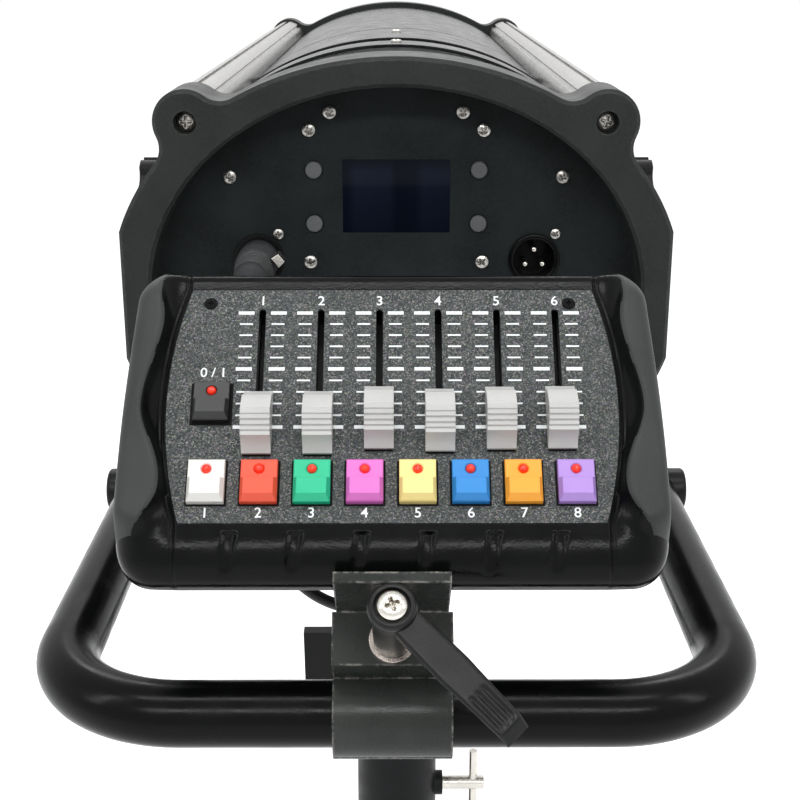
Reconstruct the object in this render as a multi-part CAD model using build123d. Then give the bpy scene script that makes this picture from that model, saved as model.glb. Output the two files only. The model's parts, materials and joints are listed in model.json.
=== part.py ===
from build123d import *
import math
import os

# Follow spot: a lamp head that tilts in a yoke, pans on a stand socket, and is
# steered by a U handle that carries a fader console.
# Frame: +X right, +Y along the beam, +Z up. Origin: foot of the stand socket.
# Millimetres. Head pieces are drawn in head coordinates (y from the rear face,
# z from the lamp axis) and console pieces in the plane of its fader panel.

os.makedirs("parts", exist_ok=True)

# ---- overall places -------------------------------------------------------
AXIS_HEIGHT = 500.0        # lamp axis above the foot of the stand socket
PIVOT_FROM_REAR = 300.0    # tilt axis in front of the rear face
RUN = 0.05                 # radial clearance of a running fit
GAP = 0.3                  # clearance round pieces that do not touch
TOUCH = 0.2                # clearance between curved covers and rails

# ---- lamp body section ----------------------------------------------------
FRAME_HALF_W = 123.0       # half width over the side flats
OVAL_A = 128.0             # semi-axes of the frame's oval
OVAL_B = 105.0
EAR_X = 91.5               # corner ears and rails
EAR_Z = 77.0
EAR_R = 14.3
VALLEY_R = 11.0
OPEN_A = 110.0             # opening of the rear frame
OPEN_B = 92.0
REAR_FRAME_D = 35.0
PANEL_SEAT = 25.0          # rear panel lies this deep in the frame
PANEL_T = 2.0
PANEL_LIP = 4.0            # panel overlaps the opening by this much
FRAME_EDGE = 1.6           # bevel of both frames' outer faces
FRONT_FRAME_Y = 620.0
FRONT_FRAME_D = 25.0
COVER_IN = 4.0             # covers lie this far inside the frame's outline
COVER_T = 1.6
RAIL_R = 12.5
RAIL_HOLE_R = 2.6
RAIL_CLEAR = 0.4           # between the rails and what ends beside them
COVER_HALF = EAR_X - RAIL_R - RAIL_CLEAR   # half width of the top covers
RAIL_GROOVES = 8
RAIL_GROOVE_DEEP = 1.5
RAIL_GROOVE_W = 2.6
SLATS = ((39.0, 40.0), (143.0, 31.0), (201.0, 93.0))   # start and length
SMOOTH_COVER_Y = 297.0

# ---- rear panel fittings --------------------------------------------------
DISPLAY_W = 49.0
DISPLAY_H = 33.5
DISPLAY_Z = 41.0
MENU_X = 37.6
MENU_Z = (53.0, 28.5)
MENU_R = 3.8
XLR_X = 63.7
XLR_Z = 11.8
XLR_R = 11.8               # outer ring of the chassis socket
XLR_BORE_R = 9.6
XLR_D = 22.0
XLR_FLANGE_W = 26.0
XLR_FLANGE_H = 31.0
INLET_W = 48.0
INLET_H = 28.0
INLET_Z = -45.0
PANEL_SCREWS = ((39.5, 71.0), (30.0, 79.0), (75.7, 50.0), (39.6, 10.7), (60.0, -64.0))
XLR_SCREW_X = 9.5          # flange screws, either way from the socket's centre
XLR_SCREW_Z = 12.0
XLR_SCREW_R = 2.4
SCREW_HEAD_R = 3.0
SCREW_HEAD_H = 2.0

# ---- nose -----------------------------------------------------------------
NOSE_R = 78.0
NOSE_T = 3.0
NOSE_START = FRONT_FRAME_Y - 60.0
NOSE_END = FRONT_FRAME_Y + 150.0
LENS_BACK = 28.0           # front lens sits this far inside the nose
LENS_SEAT = 4.0
LENS_RIM = 7.0
LENS_CURVE = 150.0
FRONT_LENS_R = 62.0

# ---- inside ---------------------------------------------------------------
SINK_Y = 78.0
SINK_D = 66.0
SINK_W = 150.0
SINK_H = 140.0
FINS = 19
FIN_T = 2.0
SINK_BASE = 8.0
SINK_POST_IN = 10.0        # posts this far in from the sink's corners
POST_SMALL_R = 4.0
FAN_SIZE = 120.0
FAN_D = 25.0
FAN_Y = 48.0
FAN_HUB_R = 20.0
FAN_WALL = 3.0
FAN_SPOKE = 3.0
FAN_SPOKE_HALF = 3.0
FAN_PIN_R = 3.0
FAN_LEG_IN = 6.0
FAN_BLADE_L = 35.0
FAN_BLADE_T = 1.6
FAN_BLADE_W = 18.0
FAN_BLADES = 7
LED_W = 60.0
LED_PLATE_T = 3.0
EMITTER_R = 15.0
EMITTER_T = 2.0
WHEEL_Y = 196.0
WHEEL_R = 62.0
WHEEL_X = -44.0
FILTERS = 8
FILTER_R = 14.0
FILTER_T = 1.2
WHEEL_T = 2.2
IRIS_Y = 216.0
IRIS_R = 34.0
IRIS_BORE = 18.0
BULK_T = 4.0
LED_BORE = 24.0
MOTOR_W = 35.0
MOTOR_L = 22.0
SHAFT_R = 2.5
SHAFT_L = 22.0
DRIVE_W = 28.0
DRIVE_L = 26.0
DRIVE_X = 40.0
DRIVE_Z = 62.0
BULKHEADS = (156.0, 232.0, FRONT_FRAME_Y - 64.0)
ROD_X = 80.0
ROD_R = 4.0
LENS_R = 46.0
CARRIAGE_R = 60.0
CARRIAGE_T = 14.0
CARRIAGE_ARM = 22.0         # height of the arms out to the rods
CARRIAGE_BEARING_R = 11.0
CARRIAGE_DOME = 130.0
FOCUS_Y = 276.0
ZOOM_Y = 400.0
DRIVER_W = 90.0
DRIVER_H = 26.0
DRIVER_L = 220.0
DRIVER_Y = 310.0
DRIVER_UP = 9.0             # the box stands this far off the lower cover

# ---- yoke, socket and side brackets ---------------------------------------
BRACKET_T = 4.0
BRACKET_START = 50.0
BRACKET_PAST = 34.0         # the plate ends this far in front of the pivot
BRACKET_HALF_H = 27.0
HANGER_L = 60.0
HANGER_HOLE_R = 4.2
BOSS_L = 13.0
BOSS_R = 17.0
YOKE_T = 6.0
YOKE_W = 50.0
YOKE_TOP = 25.0
YOKE_DROP = 250.0          # underside of the crossbar below the tilt axis
YOKE_BEND = 40.0
POST_R = 29.0
POST_FLANGE = 14.0         # the flange under the crossbar stands out this far
SPINDLE_R = 15.0
SPINDLE_L = 50.0
SOCKET_R = 29.0
SOCKET_TOP = 125.0         # top of the socket above its foot
SPIGOT_R = 14.5            # bore for a 28 mm stand spigot
SPIGOT_DEEP = 67.0
TBOLT_R = 5.0
TBOLT_Z = 53.0
TBOLT_OUT = 65.0
TBAR_X = 57.0
TBAR_L = 54.0
TBAR_R = 3.0
PAN_LEVER_Z = 115.0
PAN_LEVER_UP = 180.0
PAN_SCREW_R = 4.0
PAN_HUB_R = 8.0
SOCKET_BOSS_R = 9.0
PAN_BOSS_OUT = 4.0
KNOB_R = 20.0
KNOB_L = 22.0
KNOB_LOBES = 6
KNOB_LOBE_R = 8.0
KNOB_NECK = 4.0
PIVOT_R = 5.0

# ---- handle ---------------------------------------------------------------
TUBE_R = 12.5
TUBE_WALL = 2.0
HANDLE_HALF = 133.0         # half the distance between the arms' centres
HANDLE_Z = -123.3
HANDLE_BAR_Y = -150.0
HANDLE_BEND = 52.0
HANDLE_END_Y = 98.0
HANDLE_BOLT_Y = 78.0
HANDLE_BOLT_R = 11.0
HANDLE_CAP_T = 6.0         # bolt caps stand out this far from the tube
HANDLE_CAP_EDGE = 2.0

# ---- console --------------------------------------------------------------
CONSOLE_TILT = 46.5        # panel above the horizontal
CONSOLE_ORIGIN = (-1.5, -96.6, 17.2)  # top of the fader scales, in the head
CONSOLE_HALF_TOP = 95.4
CONSOLE_HALF_MID = 98.5
CONSOLE_HALF_LOW = 98.6
CONSOLE_TOP = 18.5
CONSOLE_LIP = -104.4
CONSOLE_DEEP = 45.0
CONSOLE_SPLIT = -15.0
BASE_DRAW = 9.4            # the base's floor is smaller all round by this much
BASE_EDGE = 4.0
SHELL_T = 2.8
CONSOLE_CORNER = 14.0
LIP_ROUND = 9.0
WING_HIGH = 8.0
PANEL_TOP = 10.0
PANEL_BOTTOM = -84.8
PANEL_HALF_END = 76.0
PANEL_HALF_MID = 83.0
OVERLAY_T = 1.2
FADER_PITCH = 22.15
FADER_SHIFT = 6.2
FADER_TRAVEL = 45.0
FADER_FOOT = -46.3
FADER_REST = (0.0, 0.0, 2.0, 1.0, 1.8, 2.0)   # caps stand this far above the stop
SLOT_W = 2.6
CAP_W = 10.7
CAP_L = 24.8
CAP_H = 12.0
STEM_W = 1.6
KEY_W = 13.2
KEY_L = 16.2
KEY_H = 5.0
KEY_PITCH = 18.9
KEY_SHIFT = -0.4
KEY_ROW = -69.5
LED_IN = 3.6               # light's centre below the key's upper edge
KEY_STRIP = 7.2            # length of the flat strip round the light
KEY_TRAVEL = 1.5
KEY_FOOT = -6.0
LAMP_X = -66.4
LAMP_V = -38.0
LAMP_L = 15.4
LED_R = 1.5
LED_TOP = 3.9
BOARD_N = -17.0
BOARD_T = 1.6
BOARD_POST_X = 78.0
BOARD_POST_V = (0.0, -85.0)
BOARD_POST_R = 4.0
GROOVES = 6
GROOVE_PITCH = 23.4
GROOVE_R = 2.8
GROOVE_DEEP = 1.2
GROOVE_L = 17.0
GROOVE_V = -97.0
GROOVE_TURN = 8.0

# ---- tube clamp -----------------------------------------------------------
CLAMP_W = 44.0
CLAMP_PLATE = 4.0
CLAMP_PLATE_W = 41.0
CLAMP_TOP = 5.0
SHELF_N = -27.7
SHELF_V = -128.5
CLAMP_R = 16.5
CLAMP_SLIT = 2.0
JAW_EAR = 11.5             # thickness of the lower jaw under the stud
STUD_V = -119.5
STUD_R = 4.0
WASHER_R = 8.5
LEVER_HUB_R = 8.0
LEVER_TOP = 17.0
STUD_TOP = 1.0
LEVER_LONG = 59.5
LEVER_HALF = (5.5, 6.3, 5.0)   # arm's half width at the hub, the flutes and the tip
LEVER_THICK = 9.0
LEVER_DROP = 10.0          # arm slopes down by this angle
LEVER_TURN = -44.0

# ---- lead -----------------------------------------------------------------
LEAD_R = 2.5
PLUG_R = 9.4
PLUG_OUT = -8.0
BOOT_END = -26.0
GLAND_X = 25.0
GLAND_V = -50.0
GLAND_L = 8.0
GLAND_RUN = 15.0           # the lead leaves the gland straight for this long
LEAD_ROUTE = [             # from the plug's boot to the console's gland, in the head
    (-63.7, -26.0, 11.8), (-63.7, -36.5, 11.8), (-63.9, -43.8, 3.2), (-64.2, -45.0, -9.0),
    (-64.0, -46.0, -24.0), (-63.2, -50.5, -44.0), (-60.5, -59.0, -67.0), (-53.5, -68.5, -91.0),
    (-39.0, -77.5, -108.0), (-18.0, -82.5, -115.0), (3.0, -82.0, -112.0), (17.0, -78.0, -100.0),
    (22.5, -76.0, -83.5),
]

# ---- worked out -----------------------------------------------------------
HEAD = Location((0, -PIVOT_FROM_REAR, AXIS_HEIGHT))
tilt = math.radians(CONSOLE_TILT)
PANEL_PLANE = Plane(
    origin=CONSOLE_ORIGIN, x_dir=(1, 0, 0), z_dir=(0, -math.sin(tilt), math.cos(tilt)))
CONSOLE = HEAD * PANEL_PLANE.location


def to_panel(y, z):
    """Head coordinates of a point to the console panel's (v, n)."""
    dy, dz = y - CONSOLE_ORIGIN[1], z - CONSOLE_ORIGIN[2]
    return (dy * math.cos(tilt) + dz * math.sin(tilt), dz * math.cos(tilt) - dy * math.sin(tilt))


BAR_V, BAR_N = to_panel(HANDLE_BAR_Y, HANDLE_Z)
FADER_X = [FADER_SHIFT + (i - 2.5) * FADER_PITCH for i in range(6)]
KEY_X = [KEY_SHIFT + (i - 3.5) * KEY_PITCH for i in range(8)]


def solids_of(shape):
    return [shape] if isinstance(shape, Solid) else list(shape.solids())


def save(name, place, *shapes):
    """Write the solids of one node, moved to the part's frame."""
    solids = [s for shape in shapes for s in solids_of(place * shape)]
    item = solids[0] if len(solids) == 1 else Compound(children=solids)
    export_step(item, f"parts/{name}.step")


def along_y(sketch, start, length):
    """A sketch drawn in (x, z), extruded from start towards +Y."""
    plane = Plane(origin=(0, start, 0), x_dir=(1, 0, 0), z_dir=(0, -1, 0))
    return extrude(plane * sketch, -length)


def rod(start, end, radius):
    """A round bar from one point to another."""
    line = Vector(*end) - Vector(*start)
    plane = Plane(origin=start, z_dir=line)
    return extrude(plane * Circle(radius), line.length)


def block(x, y, z):
    """A box from three (low, high) pairs."""
    size = [high - low for low, high in (x, y, z)]
    middle = [(low + high) / 2 for low, high in (x, y, z)]
    return Pos(*middle) * Box(*size)


def both_sides(shape):
    return [shape, mirror(shape, Plane.YZ)]


# ---- frame sections -------------------------------------------------------
def oval(inset=0.0):
    """The clipped oval of the lamp body, smaller all round by inset."""
    half = FRAME_HALF_W - inset
    return Ellipse(OVAL_A - inset, OVAL_B - inset) & Rectangle(2 * half, 2 * OVAL_B)


def frame_outline():
    """Oval with four ears, their valleys rounded."""
    ears = [Pos(x, z) * Circle(EAR_R) for x in (-EAR_X, EAR_X) for z in (-EAR_Z, EAR_Z)]
    rough = oval() + ears
    corners = [v for v in rough.vertices() if abs(v.X) < FRAME_HALF_W - 1]
    return fillet(corners, VALLEY_R)


def ear_places():
    return [(x, z) for x in (-EAR_X, EAR_X) for z in (-EAR_Z, EAR_Z)]


# ---- rear frame and its panel ---------------------------------------------
def make_rear_frame():
    frame = along_y(frame_outline() - Ellipse(OPEN_A, OPEN_B), 0, PANEL_SEAT)
    seat = Ellipse(OPEN_A + PANEL_LIP + GAP, OPEN_B + PANEL_LIP + GAP)
    frame += along_y(frame_outline() - seat, PANEL_SEAT, REAR_FRAME_D - PANEL_SEAT)
    rear_edges = frame.edges().filter_by_position(Axis.Y, -0.01, 0.01)
    frame = chamfer(rear_edges, FRAME_EDGE)
    for x, z in ear_places():
        frame -= along_y(Pos(x, z) * Circle(5.0), -1, 7)
        frame -= along_y(Pos(x, z) * Circle(RAIL_HOLE_R), 0, REAR_FRAME_D)
    return frame


def make_rear_panel():
    panel = Ellipse(OPEN_A + PANEL_LIP, OPEN_B + PANEL_LIP)
    panel -= Pos(0, DISPLAY_Z) * Rectangle(DISPLAY_W, DISPLAY_H)
    for x in (-MENU_X, MENU_X):
        for z in MENU_Z:
            panel -= Pos(x, z) * Circle(MENU_R + GAP)
    for x in (-XLR_X, XLR_X):
        panel -= Pos(x, XLR_Z) * Circle(XLR_R)
    panel -= Pos(0, INLET_Z) * Rectangle(INLET_W, INLET_H)
    for x, z in PANEL_SCREWS:
        panel -= [Pos(side * x, z) * Circle(1.6) for side in (-1, 1)]
    for x in (-XLR_X, XLR_X):
        for side in (-1, 1):
            panel -= Pos(x + side * XLR_SCREW_X, XLR_Z + side * XLR_SCREW_Z) * Circle(1.3)
    return along_y(panel, PANEL_SEAT, PANEL_T)


def make_display():
    """Window flush in the panel with its glass and module behind."""
    window = block((-DISPLAY_W / 2, DISPLAY_W / 2), (PANEL_SEAT + 0.4, PANEL_SEAT + PANEL_T),
                   (DISPLAY_Z - DISPLAY_H / 2, DISPLAY_Z + DISPLAY_H / 2))
    module = block((-31, 31), (PANEL_SEAT + PANEL_T, PANEL_SEAT + PANEL_T + 5),
                   (DISPLAY_Z - 22, DISPLAY_Z + 22))
    return window, module


def make_connectors():
    """Two chassis sockets with their flange behind the panel, and the mains inlet."""
    pieces = []
    for side in (-1, 1):
        at = Pos(side * XLR_X, XLR_Z)
        socket = along_y(at * Circle(XLR_R), PANEL_SEAT - 1.2, XLR_D)
        flange = along_y(at * Rectangle(XLR_FLANGE_W, XLR_FLANGE_H), PANEL_SEAT + PANEL_T, 2)
        for turn in (-1, 1):
            hole = at * Pos(turn * XLR_SCREW_X, turn * XLR_SCREW_Z) * Circle(1.3)
            flange -= along_y(hole, PANEL_SEAT, PANEL_T + 5)
        socket = socket + flange
        socket -= along_y(at * Circle(XLR_BORE_R), PANEL_SEAT - 2, 15)
        pieces.append(socket)
        if side > 0:
            for turn in (90, 210, 330):
                spot = at * Pos(4.6 * math.cos(math.radians(turn)),
                                4.6 * math.sin(math.radians(turn)))
                pieces.append(along_y(spot * Circle(1.2), PANEL_SEAT + 1.5, 11.5))
    front = along_y(Pos(0, INLET_Z) * Rectangle(INLET_W, INLET_H), PANEL_SEAT, PANEL_T)
    rear = along_y(Pos(0, INLET_Z) * Rectangle(INLET_W + 6, INLET_H + 6), PANEL_SEAT + PANEL_T, 3)
    body = along_y(Pos(0, INLET_Z) * Rectangle(INLET_W - 10, INLET_H - 4), PANEL_SEAT + 5, 10)
    inlet = front + rear + body
    inlet -= along_y(Pos(0, INLET_Z) * Rectangle(27, 19), PANEL_SEAT - 1, 13)
    pieces.append(inlet)
    for x in (-7, 0, 7):
        pieces.append(along_y(Pos(x, INLET_Z) * Rectangle(2, 5), PANEL_SEAT + 3, 9))
    return pieces


def screw(x, z, start, shank, head_r=SCREW_HEAD_R, shank_r=1.5):
    """A round-headed screw along +Y with a cross recess."""
    head = along_y(Pos(x, z) * Circle(head_r), start - SCREW_HEAD_H, SCREW_HEAD_H)
    body = head + along_y(Pos(x, z) * Circle(shank_r), start, shank)
    cross = Rectangle(head_r * 1.1, 0.8) + Rectangle(0.8, head_r * 1.1)
    return body - along_y(Pos(x, z) * cross, start - SCREW_HEAD_H - 0.1, 1.2)


def make_screws():
    """Panel screws, the four long frame screws, and the slat screws on top."""
    pieces = []
    for x, z in PANEL_SCREWS:
        pieces += [screw(side * x, z, PANEL_SEAT, 5) for side in (-1, 1)]
    for x in (-XLR_X, XLR_X):
        for side in (-1, 1):
            at = (x + side * XLR_SCREW_X, XLR_Z + side * XLR_SCREW_Z)
            pieces.append(screw(*at, PANEL_SEAT, PANEL_T + 2, head_r=XLR_SCREW_R, shank_r=1.2))
    for x, z in ear_places():
        pieces.append(screw(x, z, 6, 40, head_r=4.4, shank_r=2.5))
    for start, length in SLATS:
        top = OVAL_B - COVER_IN
        middle = (0, start + length * 0.6, top)
        head = rod(middle, (0, middle[1], top + 1.6), 3.0)
        pieces.append(head)
    return pieces


# ---- body shell -----------------------------------------------------------
def cover_ring():
    return oval(COVER_IN) - oval(COVER_IN + COVER_T)


def rail_clear():
    return [Pos(x, z) * Circle(RAIL_R + TOUCH) for x, z in ear_places()]


def make_rails():
    """Grooved corner extrusions with a screw bore, from frame to frame."""
    rails = []
    for x, z in ear_places():
        section = Pos(x, z) * Circle(RAIL_R)
        for i in range(RAIL_GROOVES):
            turn = Pos(x, z) * Rot(0, 0, i * 360 / RAIL_GROOVES) * Pos(RAIL_R, 0)
            section -= turn * Rectangle(2 * RAIL_GROOVE_DEEP, RAIL_GROOVE_W)
        section -= Pos(x, z) * Circle(RAIL_HOLE_R)
        rails.append(along_y(section, REAR_FRAME_D, FRONT_FRAME_Y - REAR_FRAME_D))
    return rails


def top_strip():
    """The part of the cover between the upper rails."""
    strip = cover_ring() & Pos(0, OVAL_B / 2 + 20) * Rectangle(2 * COVER_HALF, OVAL_B)
    return strip - rail_clear()


def make_slats():
    return [along_y(top_strip(), start, length) for start, length in SLATS]


def make_top_cover():
    return along_y(top_strip(), SMOOTH_COVER_Y, FRONT_FRAME_Y - SMOOTH_COVER_Y)


def make_lower_cover():
    """Sides and bottom in one folded sheet."""
    wrap = cover_ring() - Pos(0, OVAL_B / 2 + 20) * Rectangle(2 * EAR_X, OVAL_B)
    wrap -= rail_clear()
    sheet = along_y(wrap, REAR_FRAME_D, FRONT_FRAME_Y - REAR_FRAME_D)
    return sheet


def make_front_frame():
    frame = along_y(frame_outline() - Circle(NOSE_R), FRONT_FRAME_Y, FRONT_FRAME_D)
    face = FRONT_FRAME_Y + FRONT_FRAME_D
    return chamfer(frame.edges().filter_by_position(Axis.Y, face - 0.01, face + 0.01), FRAME_EDGE)


def make_nose():
    tube = along_y(Circle(NOSE_R) - Circle(NOSE_R - NOSE_T), NOSE_START, NOSE_END - NOSE_START)
    seat_y = NOSE_END - LENS_BACK - LENS_SEAT
    seat = along_y(Circle(NOSE_R - NOSE_T) - Circle(FRONT_LENS_R - 3), seat_y, LENS_SEAT)
    lip = along_y(Circle(NOSE_R - NOSE_T) - Circle(FRONT_LENS_R), NOSE_END - LENS_BACK, 12)
    return tube + seat + lip


def make_front_lens():
    """Plano-convex lens, flat side inwards."""
    lens = along_y(Circle(FRONT_LENS_R - 0.1), NOSE_END - LENS_BACK, LENS_RIM)
    centre = NOSE_END - LENS_BACK + 20 - LENS_CURVE
    return lens + (Pos(0, centre, 0) * Sphere(LENS_CURVE)
                   & along_y(Circle(FRONT_LENS_R - 0.1), NOSE_END - LENS_BACK + 2, 24))


# ---- light engine and optics ----------------------------------------------
def make_heat_sink():
    sink = block((-SINK_W / 2, SINK_W / 2), (SINK_Y + SINK_D - SINK_BASE, SINK_Y + SINK_D),
                 (-SINK_H / 2, SINK_H / 2))
    pitch = (SINK_W - FIN_T) / (FINS - 1)
    for i in range(FINS):
        x = -SINK_W / 2 + i * pitch
        sink += block((x, x + FIN_T), (SINK_Y, SINK_Y + SINK_D), (-SINK_H / 2, SINK_H / 2))
    post_x, post_z = SINK_W / 2 - SINK_POST_IN, SINK_H / 2 - SINK_POST_IN
    for x in (-post_x, post_x):
        for z in (-post_z, post_z):
            sink += rod((x, SINK_Y + SINK_D - 1, z), (x, BULKHEADS[0], z), POST_SMALL_R)
    return sink


def make_led():
    start = SINK_Y + SINK_D
    plate = block((-LED_W / 2, LED_W / 2), (start, start + LED_PLATE_T), (-LED_W / 2, LED_W / 2))
    emitter = along_y(Circle(EMITTER_R), start + LED_PLATE_T, EMITTER_T)
    return plate, emitter


def make_fan_frame():
    half = FAN_SIZE / 2
    frame = block((-half, half), (FAN_Y, FAN_Y + FAN_D), (-half, half))
    frame -= along_y(Circle(half - FAN_WALL), FAN_Y - 1, FAN_D + 2)
    spoke_y = (FAN_Y + FAN_D - FAN_SPOKE, FAN_Y + FAN_D)
    reach, wide = (-half + 2, half - 2), (-FAN_SPOKE_HALF, FAN_SPOKE_HALF)
    frame += block(reach, spoke_y, wide) + block(wide, spoke_y, reach)
    frame += along_y(Circle(FAN_HUB_R), spoke_y[0], FAN_SPOKE)
    frame += along_y(Circle(FAN_PIN_R), FAN_Y + 6, FAN_D - 6 - FAN_SPOKE)
    legs = []
    for x in (-half + FAN_LEG_IN, half - FAN_LEG_IN):
        for z in (-half + FAN_LEG_IN, half - FAN_LEG_IN):
            legs.append(rod((x, FAN_Y + FAN_D, z), (x, SINK_Y, z), POST_SMALL_R))
    return frame, *legs


def make_fan_rotor():
    rotor = along_y(Circle(FAN_HUB_R) - Circle(FAN_PIN_R + RUN), FAN_Y + 2, FAN_D - 7)
    for i in range(FAN_BLADES):
        out = FAN_HUB_R + FAN_BLADE_L / 2 - 2
        blade = (Pos(out, FAN_Y + 11, 0) * Rot(35, 0, 0)
                 * Box(FAN_BLADE_L, FAN_BLADE_T, FAN_BLADE_W))
        rotor += Rot(0, i * 360 / FAN_BLADES, 0) * blade
    return rotor


def make_optics_frame():
    """Three bulkheads with two guide rods, and the motors fixed to them."""
    rear, middle, front = BULKHEADS
    edge = oval(COVER_IN + COVER_T + 0.1) - [Pos(x, z) * Circle(RAIL_R + RAIL_CLEAR)
                                             for x, z in ear_places()]
    pieces = []
    for y, bore in ((rear, LED_BORE), (middle, IRIS_BORE + 4)):
        pieces.append(along_y(edge - Circle(bore), y, BULK_T))
    pieces.append(along_y(edge - Circle(NOSE_R - 6), front, BULK_T))
    rods = [rod((x, middle + BULK_T, 0), (x, front, 0), ROD_R) for x in (-ROD_X, ROD_X)]
    motor = along_y(Pos(WHEEL_X, 0) * Rectangle(MOTOR_W, MOTOR_W), rear + BULK_T, MOTOR_L)
    motor += along_y(Pos(WHEEL_X, 0) * Circle(SHAFT_R), rear + BULK_T + MOTOR_L, SHAFT_L)
    drive = [along_y(Pos(x, DRIVE_Z) * Rectangle(DRIVE_W, DRIVE_W), middle + BULK_T, DRIVE_L)
             for x in (-DRIVE_X, DRIVE_X)]
    return pieces + rods + [motor] + drive


def make_color_wheel():
    disc = Circle(WHEEL_R) - Circle(SHAFT_R + RUN)
    glass = []
    ring_r = -WHEEL_X
    for i in range(FILTERS):
        turn = math.radians(i * 360 / FILTERS)
        spot = Pos(ring_r * math.cos(turn), ring_r * math.sin(turn))
        disc -= spot * Circle(FILTER_R)
        glass.append(along_y(Pos(WHEEL_X, 0) * spot * Circle(FILTER_R),
                             WHEEL_Y + (WHEEL_T - FILTER_T) / 2, FILTER_T))
    return along_y(Pos(WHEEL_X, 0) * disc, WHEEL_Y, WHEEL_T), *glass


def make_iris():
    """Drive ring of the iris, turning on the middle bulkhead's collar."""
    ring = Circle(IRIS_R) - Circle(IRIS_BORE)
    tab = Pos(0, IRIS_R + 6) * Rectangle(8, 18)
    return along_y(ring + tab, IRIS_Y, BULKHEADS[1] - IRIS_Y - GAP)


def make_carriage(start, lens_r):
    """A lens holder that slides on both guide rods, and its lens."""
    holder = Circle(CARRIAGE_R) + Rectangle(2 * ROD_X, CARRIAGE_ARM)
    holder += [Pos(x, 0) * Circle(CARRIAGE_BEARING_R) for x in (-ROD_X, ROD_X)]
    holder -= [Pos(x, 0) * Circle(ROD_R + RUN) for x in (-ROD_X, ROD_X)]
    holder -= Circle(lens_r)
    lens = along_y(Circle(lens_r), start + 4, 6)
    dome = Pos(0, start + 10 + 8 - CARRIAGE_DOME, 0) * Sphere(CARRIAGE_DOME)
    lens += dome & along_y(Circle(lens_r - 2), start + 10, 9)
    return along_y(holder, start, CARRIAGE_T), lens


def make_driver():
    low = -OVAL_B + COVER_IN + COVER_T + DRIVER_UP
    box = block((-DRIVER_W / 2, DRIVER_W / 2), (DRIVER_Y, DRIVER_Y + DRIVER_L),
                (low, low + DRIVER_H))
    feet = []
    for x in (-DRIVER_W / 2 + 8, DRIVER_W / 2 - 8):
        for y in (DRIVER_Y + 15, DRIVER_Y + DRIVER_L - 15):
            foot = rod((x, y, low - DRIVER_UP), (x, y, low), POST_SMALL_R)
            wrap = along_y(oval(COVER_IN + COVER_T), y - 10, 20)
            feet.append(foot & wrap)
    return box, *feet


# ---- yoke, stand socket and brackets --------------------------------------
def make_side_bracket():
    """Steel plate on the body's flat with a pivot boss and a hanger for the handle."""
    inner = FRAME_HALF_W - COVER_IN
    y0, y1 = BRACKET_START, PIVOT_FROM_REAR + BRACKET_PAST
    plate = block((inner, inner + BRACKET_T), (y0, y1), (-BRACKET_HALF_H, BRACKET_HALF_H))
    centre = inner + BRACKET_T / 2
    low = HANDLE_Z - TUBE_R - 3
    hang_x = HANDLE_HALF - TUBE_R - BRACKET_T / 2
    line = Polyline((centre, BRACKET_HALF_H - 2), (centre, -BRACKET_HALF_H - 4), (hang_x, -58),
                    (hang_x, low))
    hanger = make_hull_strip(line)
    plate += along_y(hanger, y0, HANGER_L)
    plate += rod((inner + BRACKET_T, PIVOT_FROM_REAR, 0),
                 (inner + BRACKET_T + BOSS_L, PIVOT_FROM_REAR, 0), BOSS_R)
    plate -= rod((inner - 1, PIVOT_FROM_REAR, 0), (inner + 40, PIVOT_FROM_REAR, 0), PIVOT_R + RUN)
    plate -= rod((hang_x - 5, HANDLE_BOLT_Y, HANDLE_Z), (hang_x + 5, HANDLE_BOLT_Y, HANDLE_Z),
                 HANGER_HOLE_R)
    return plate


def make_hull_strip(line):
    """A strip of bracket thickness along a bent line in (x, z)."""
    strip = None
    for edge in line.edges():
        a, b = edge @ 0, edge @ 1
        middle = (a + b) / 2
        turn = math.degrees(math.atan2(b.Y - a.Y, b.X - a.X))
        bar = Pos(middle.X, middle.Y) * Rot(0, 0, turn) * Rectangle(edge.length, BRACKET_T)
        bar += Pos(b.X, b.Y) * Circle(BRACKET_T / 2)
        strip = bar if strip is None else strip + bar
    return strip


YOKE_IN = FRAME_HALF_W - COVER_IN + BRACKET_T + BOSS_L + GAP


def make_yoke():
    """Bent flat bar with a post and the pan spindle under it, in head coordinates."""
    outer_w = YOKE_IN + YOKE_T
    high = YOKE_TOP + YOKE_DROP
    outer = Pos(0, YOKE_TOP - high / 2) * RectangleRounded(2 * outer_w, high, YOKE_BEND)
    outer += Pos(0, YOKE_TOP - YOKE_BEND / 2) * Rectangle(2 * outer_w, YOKE_BEND)
    in_high = high - YOKE_T + 60
    inner = Pos(0, YOKE_TOP + 60 - in_high / 2) * RectangleRounded(
        2 * YOKE_IN, in_high, YOKE_BEND - YOKE_T)
    yoke = along_y(outer - inner, PIVOT_FROM_REAR - YOKE_W / 2, YOKE_W)
    for x in (-outer_w, YOKE_IN):
        yoke -= rod((x - 1, PIVOT_FROM_REAR, 0), (x + YOKE_T + 1, PIVOT_FROM_REAR, 0),
                    PIVOT_R + 0.3)
    foot = SOCKET_TOP + GAP - AXIS_HEIGHT
    centre = PIVOT_FROM_REAR
    yoke += rod((0, centre, -YOKE_DROP + 0.1), (0, centre, foot), POST_R)
    yoke += rod((0, centre, foot + 1), (0, centre, foot - SPINDLE_L), SPINDLE_R)
    yoke += rod((0, centre, -YOKE_DROP), (0, centre, -YOKE_DROP - 8), POST_R + POST_FLANGE)
    return yoke


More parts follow.
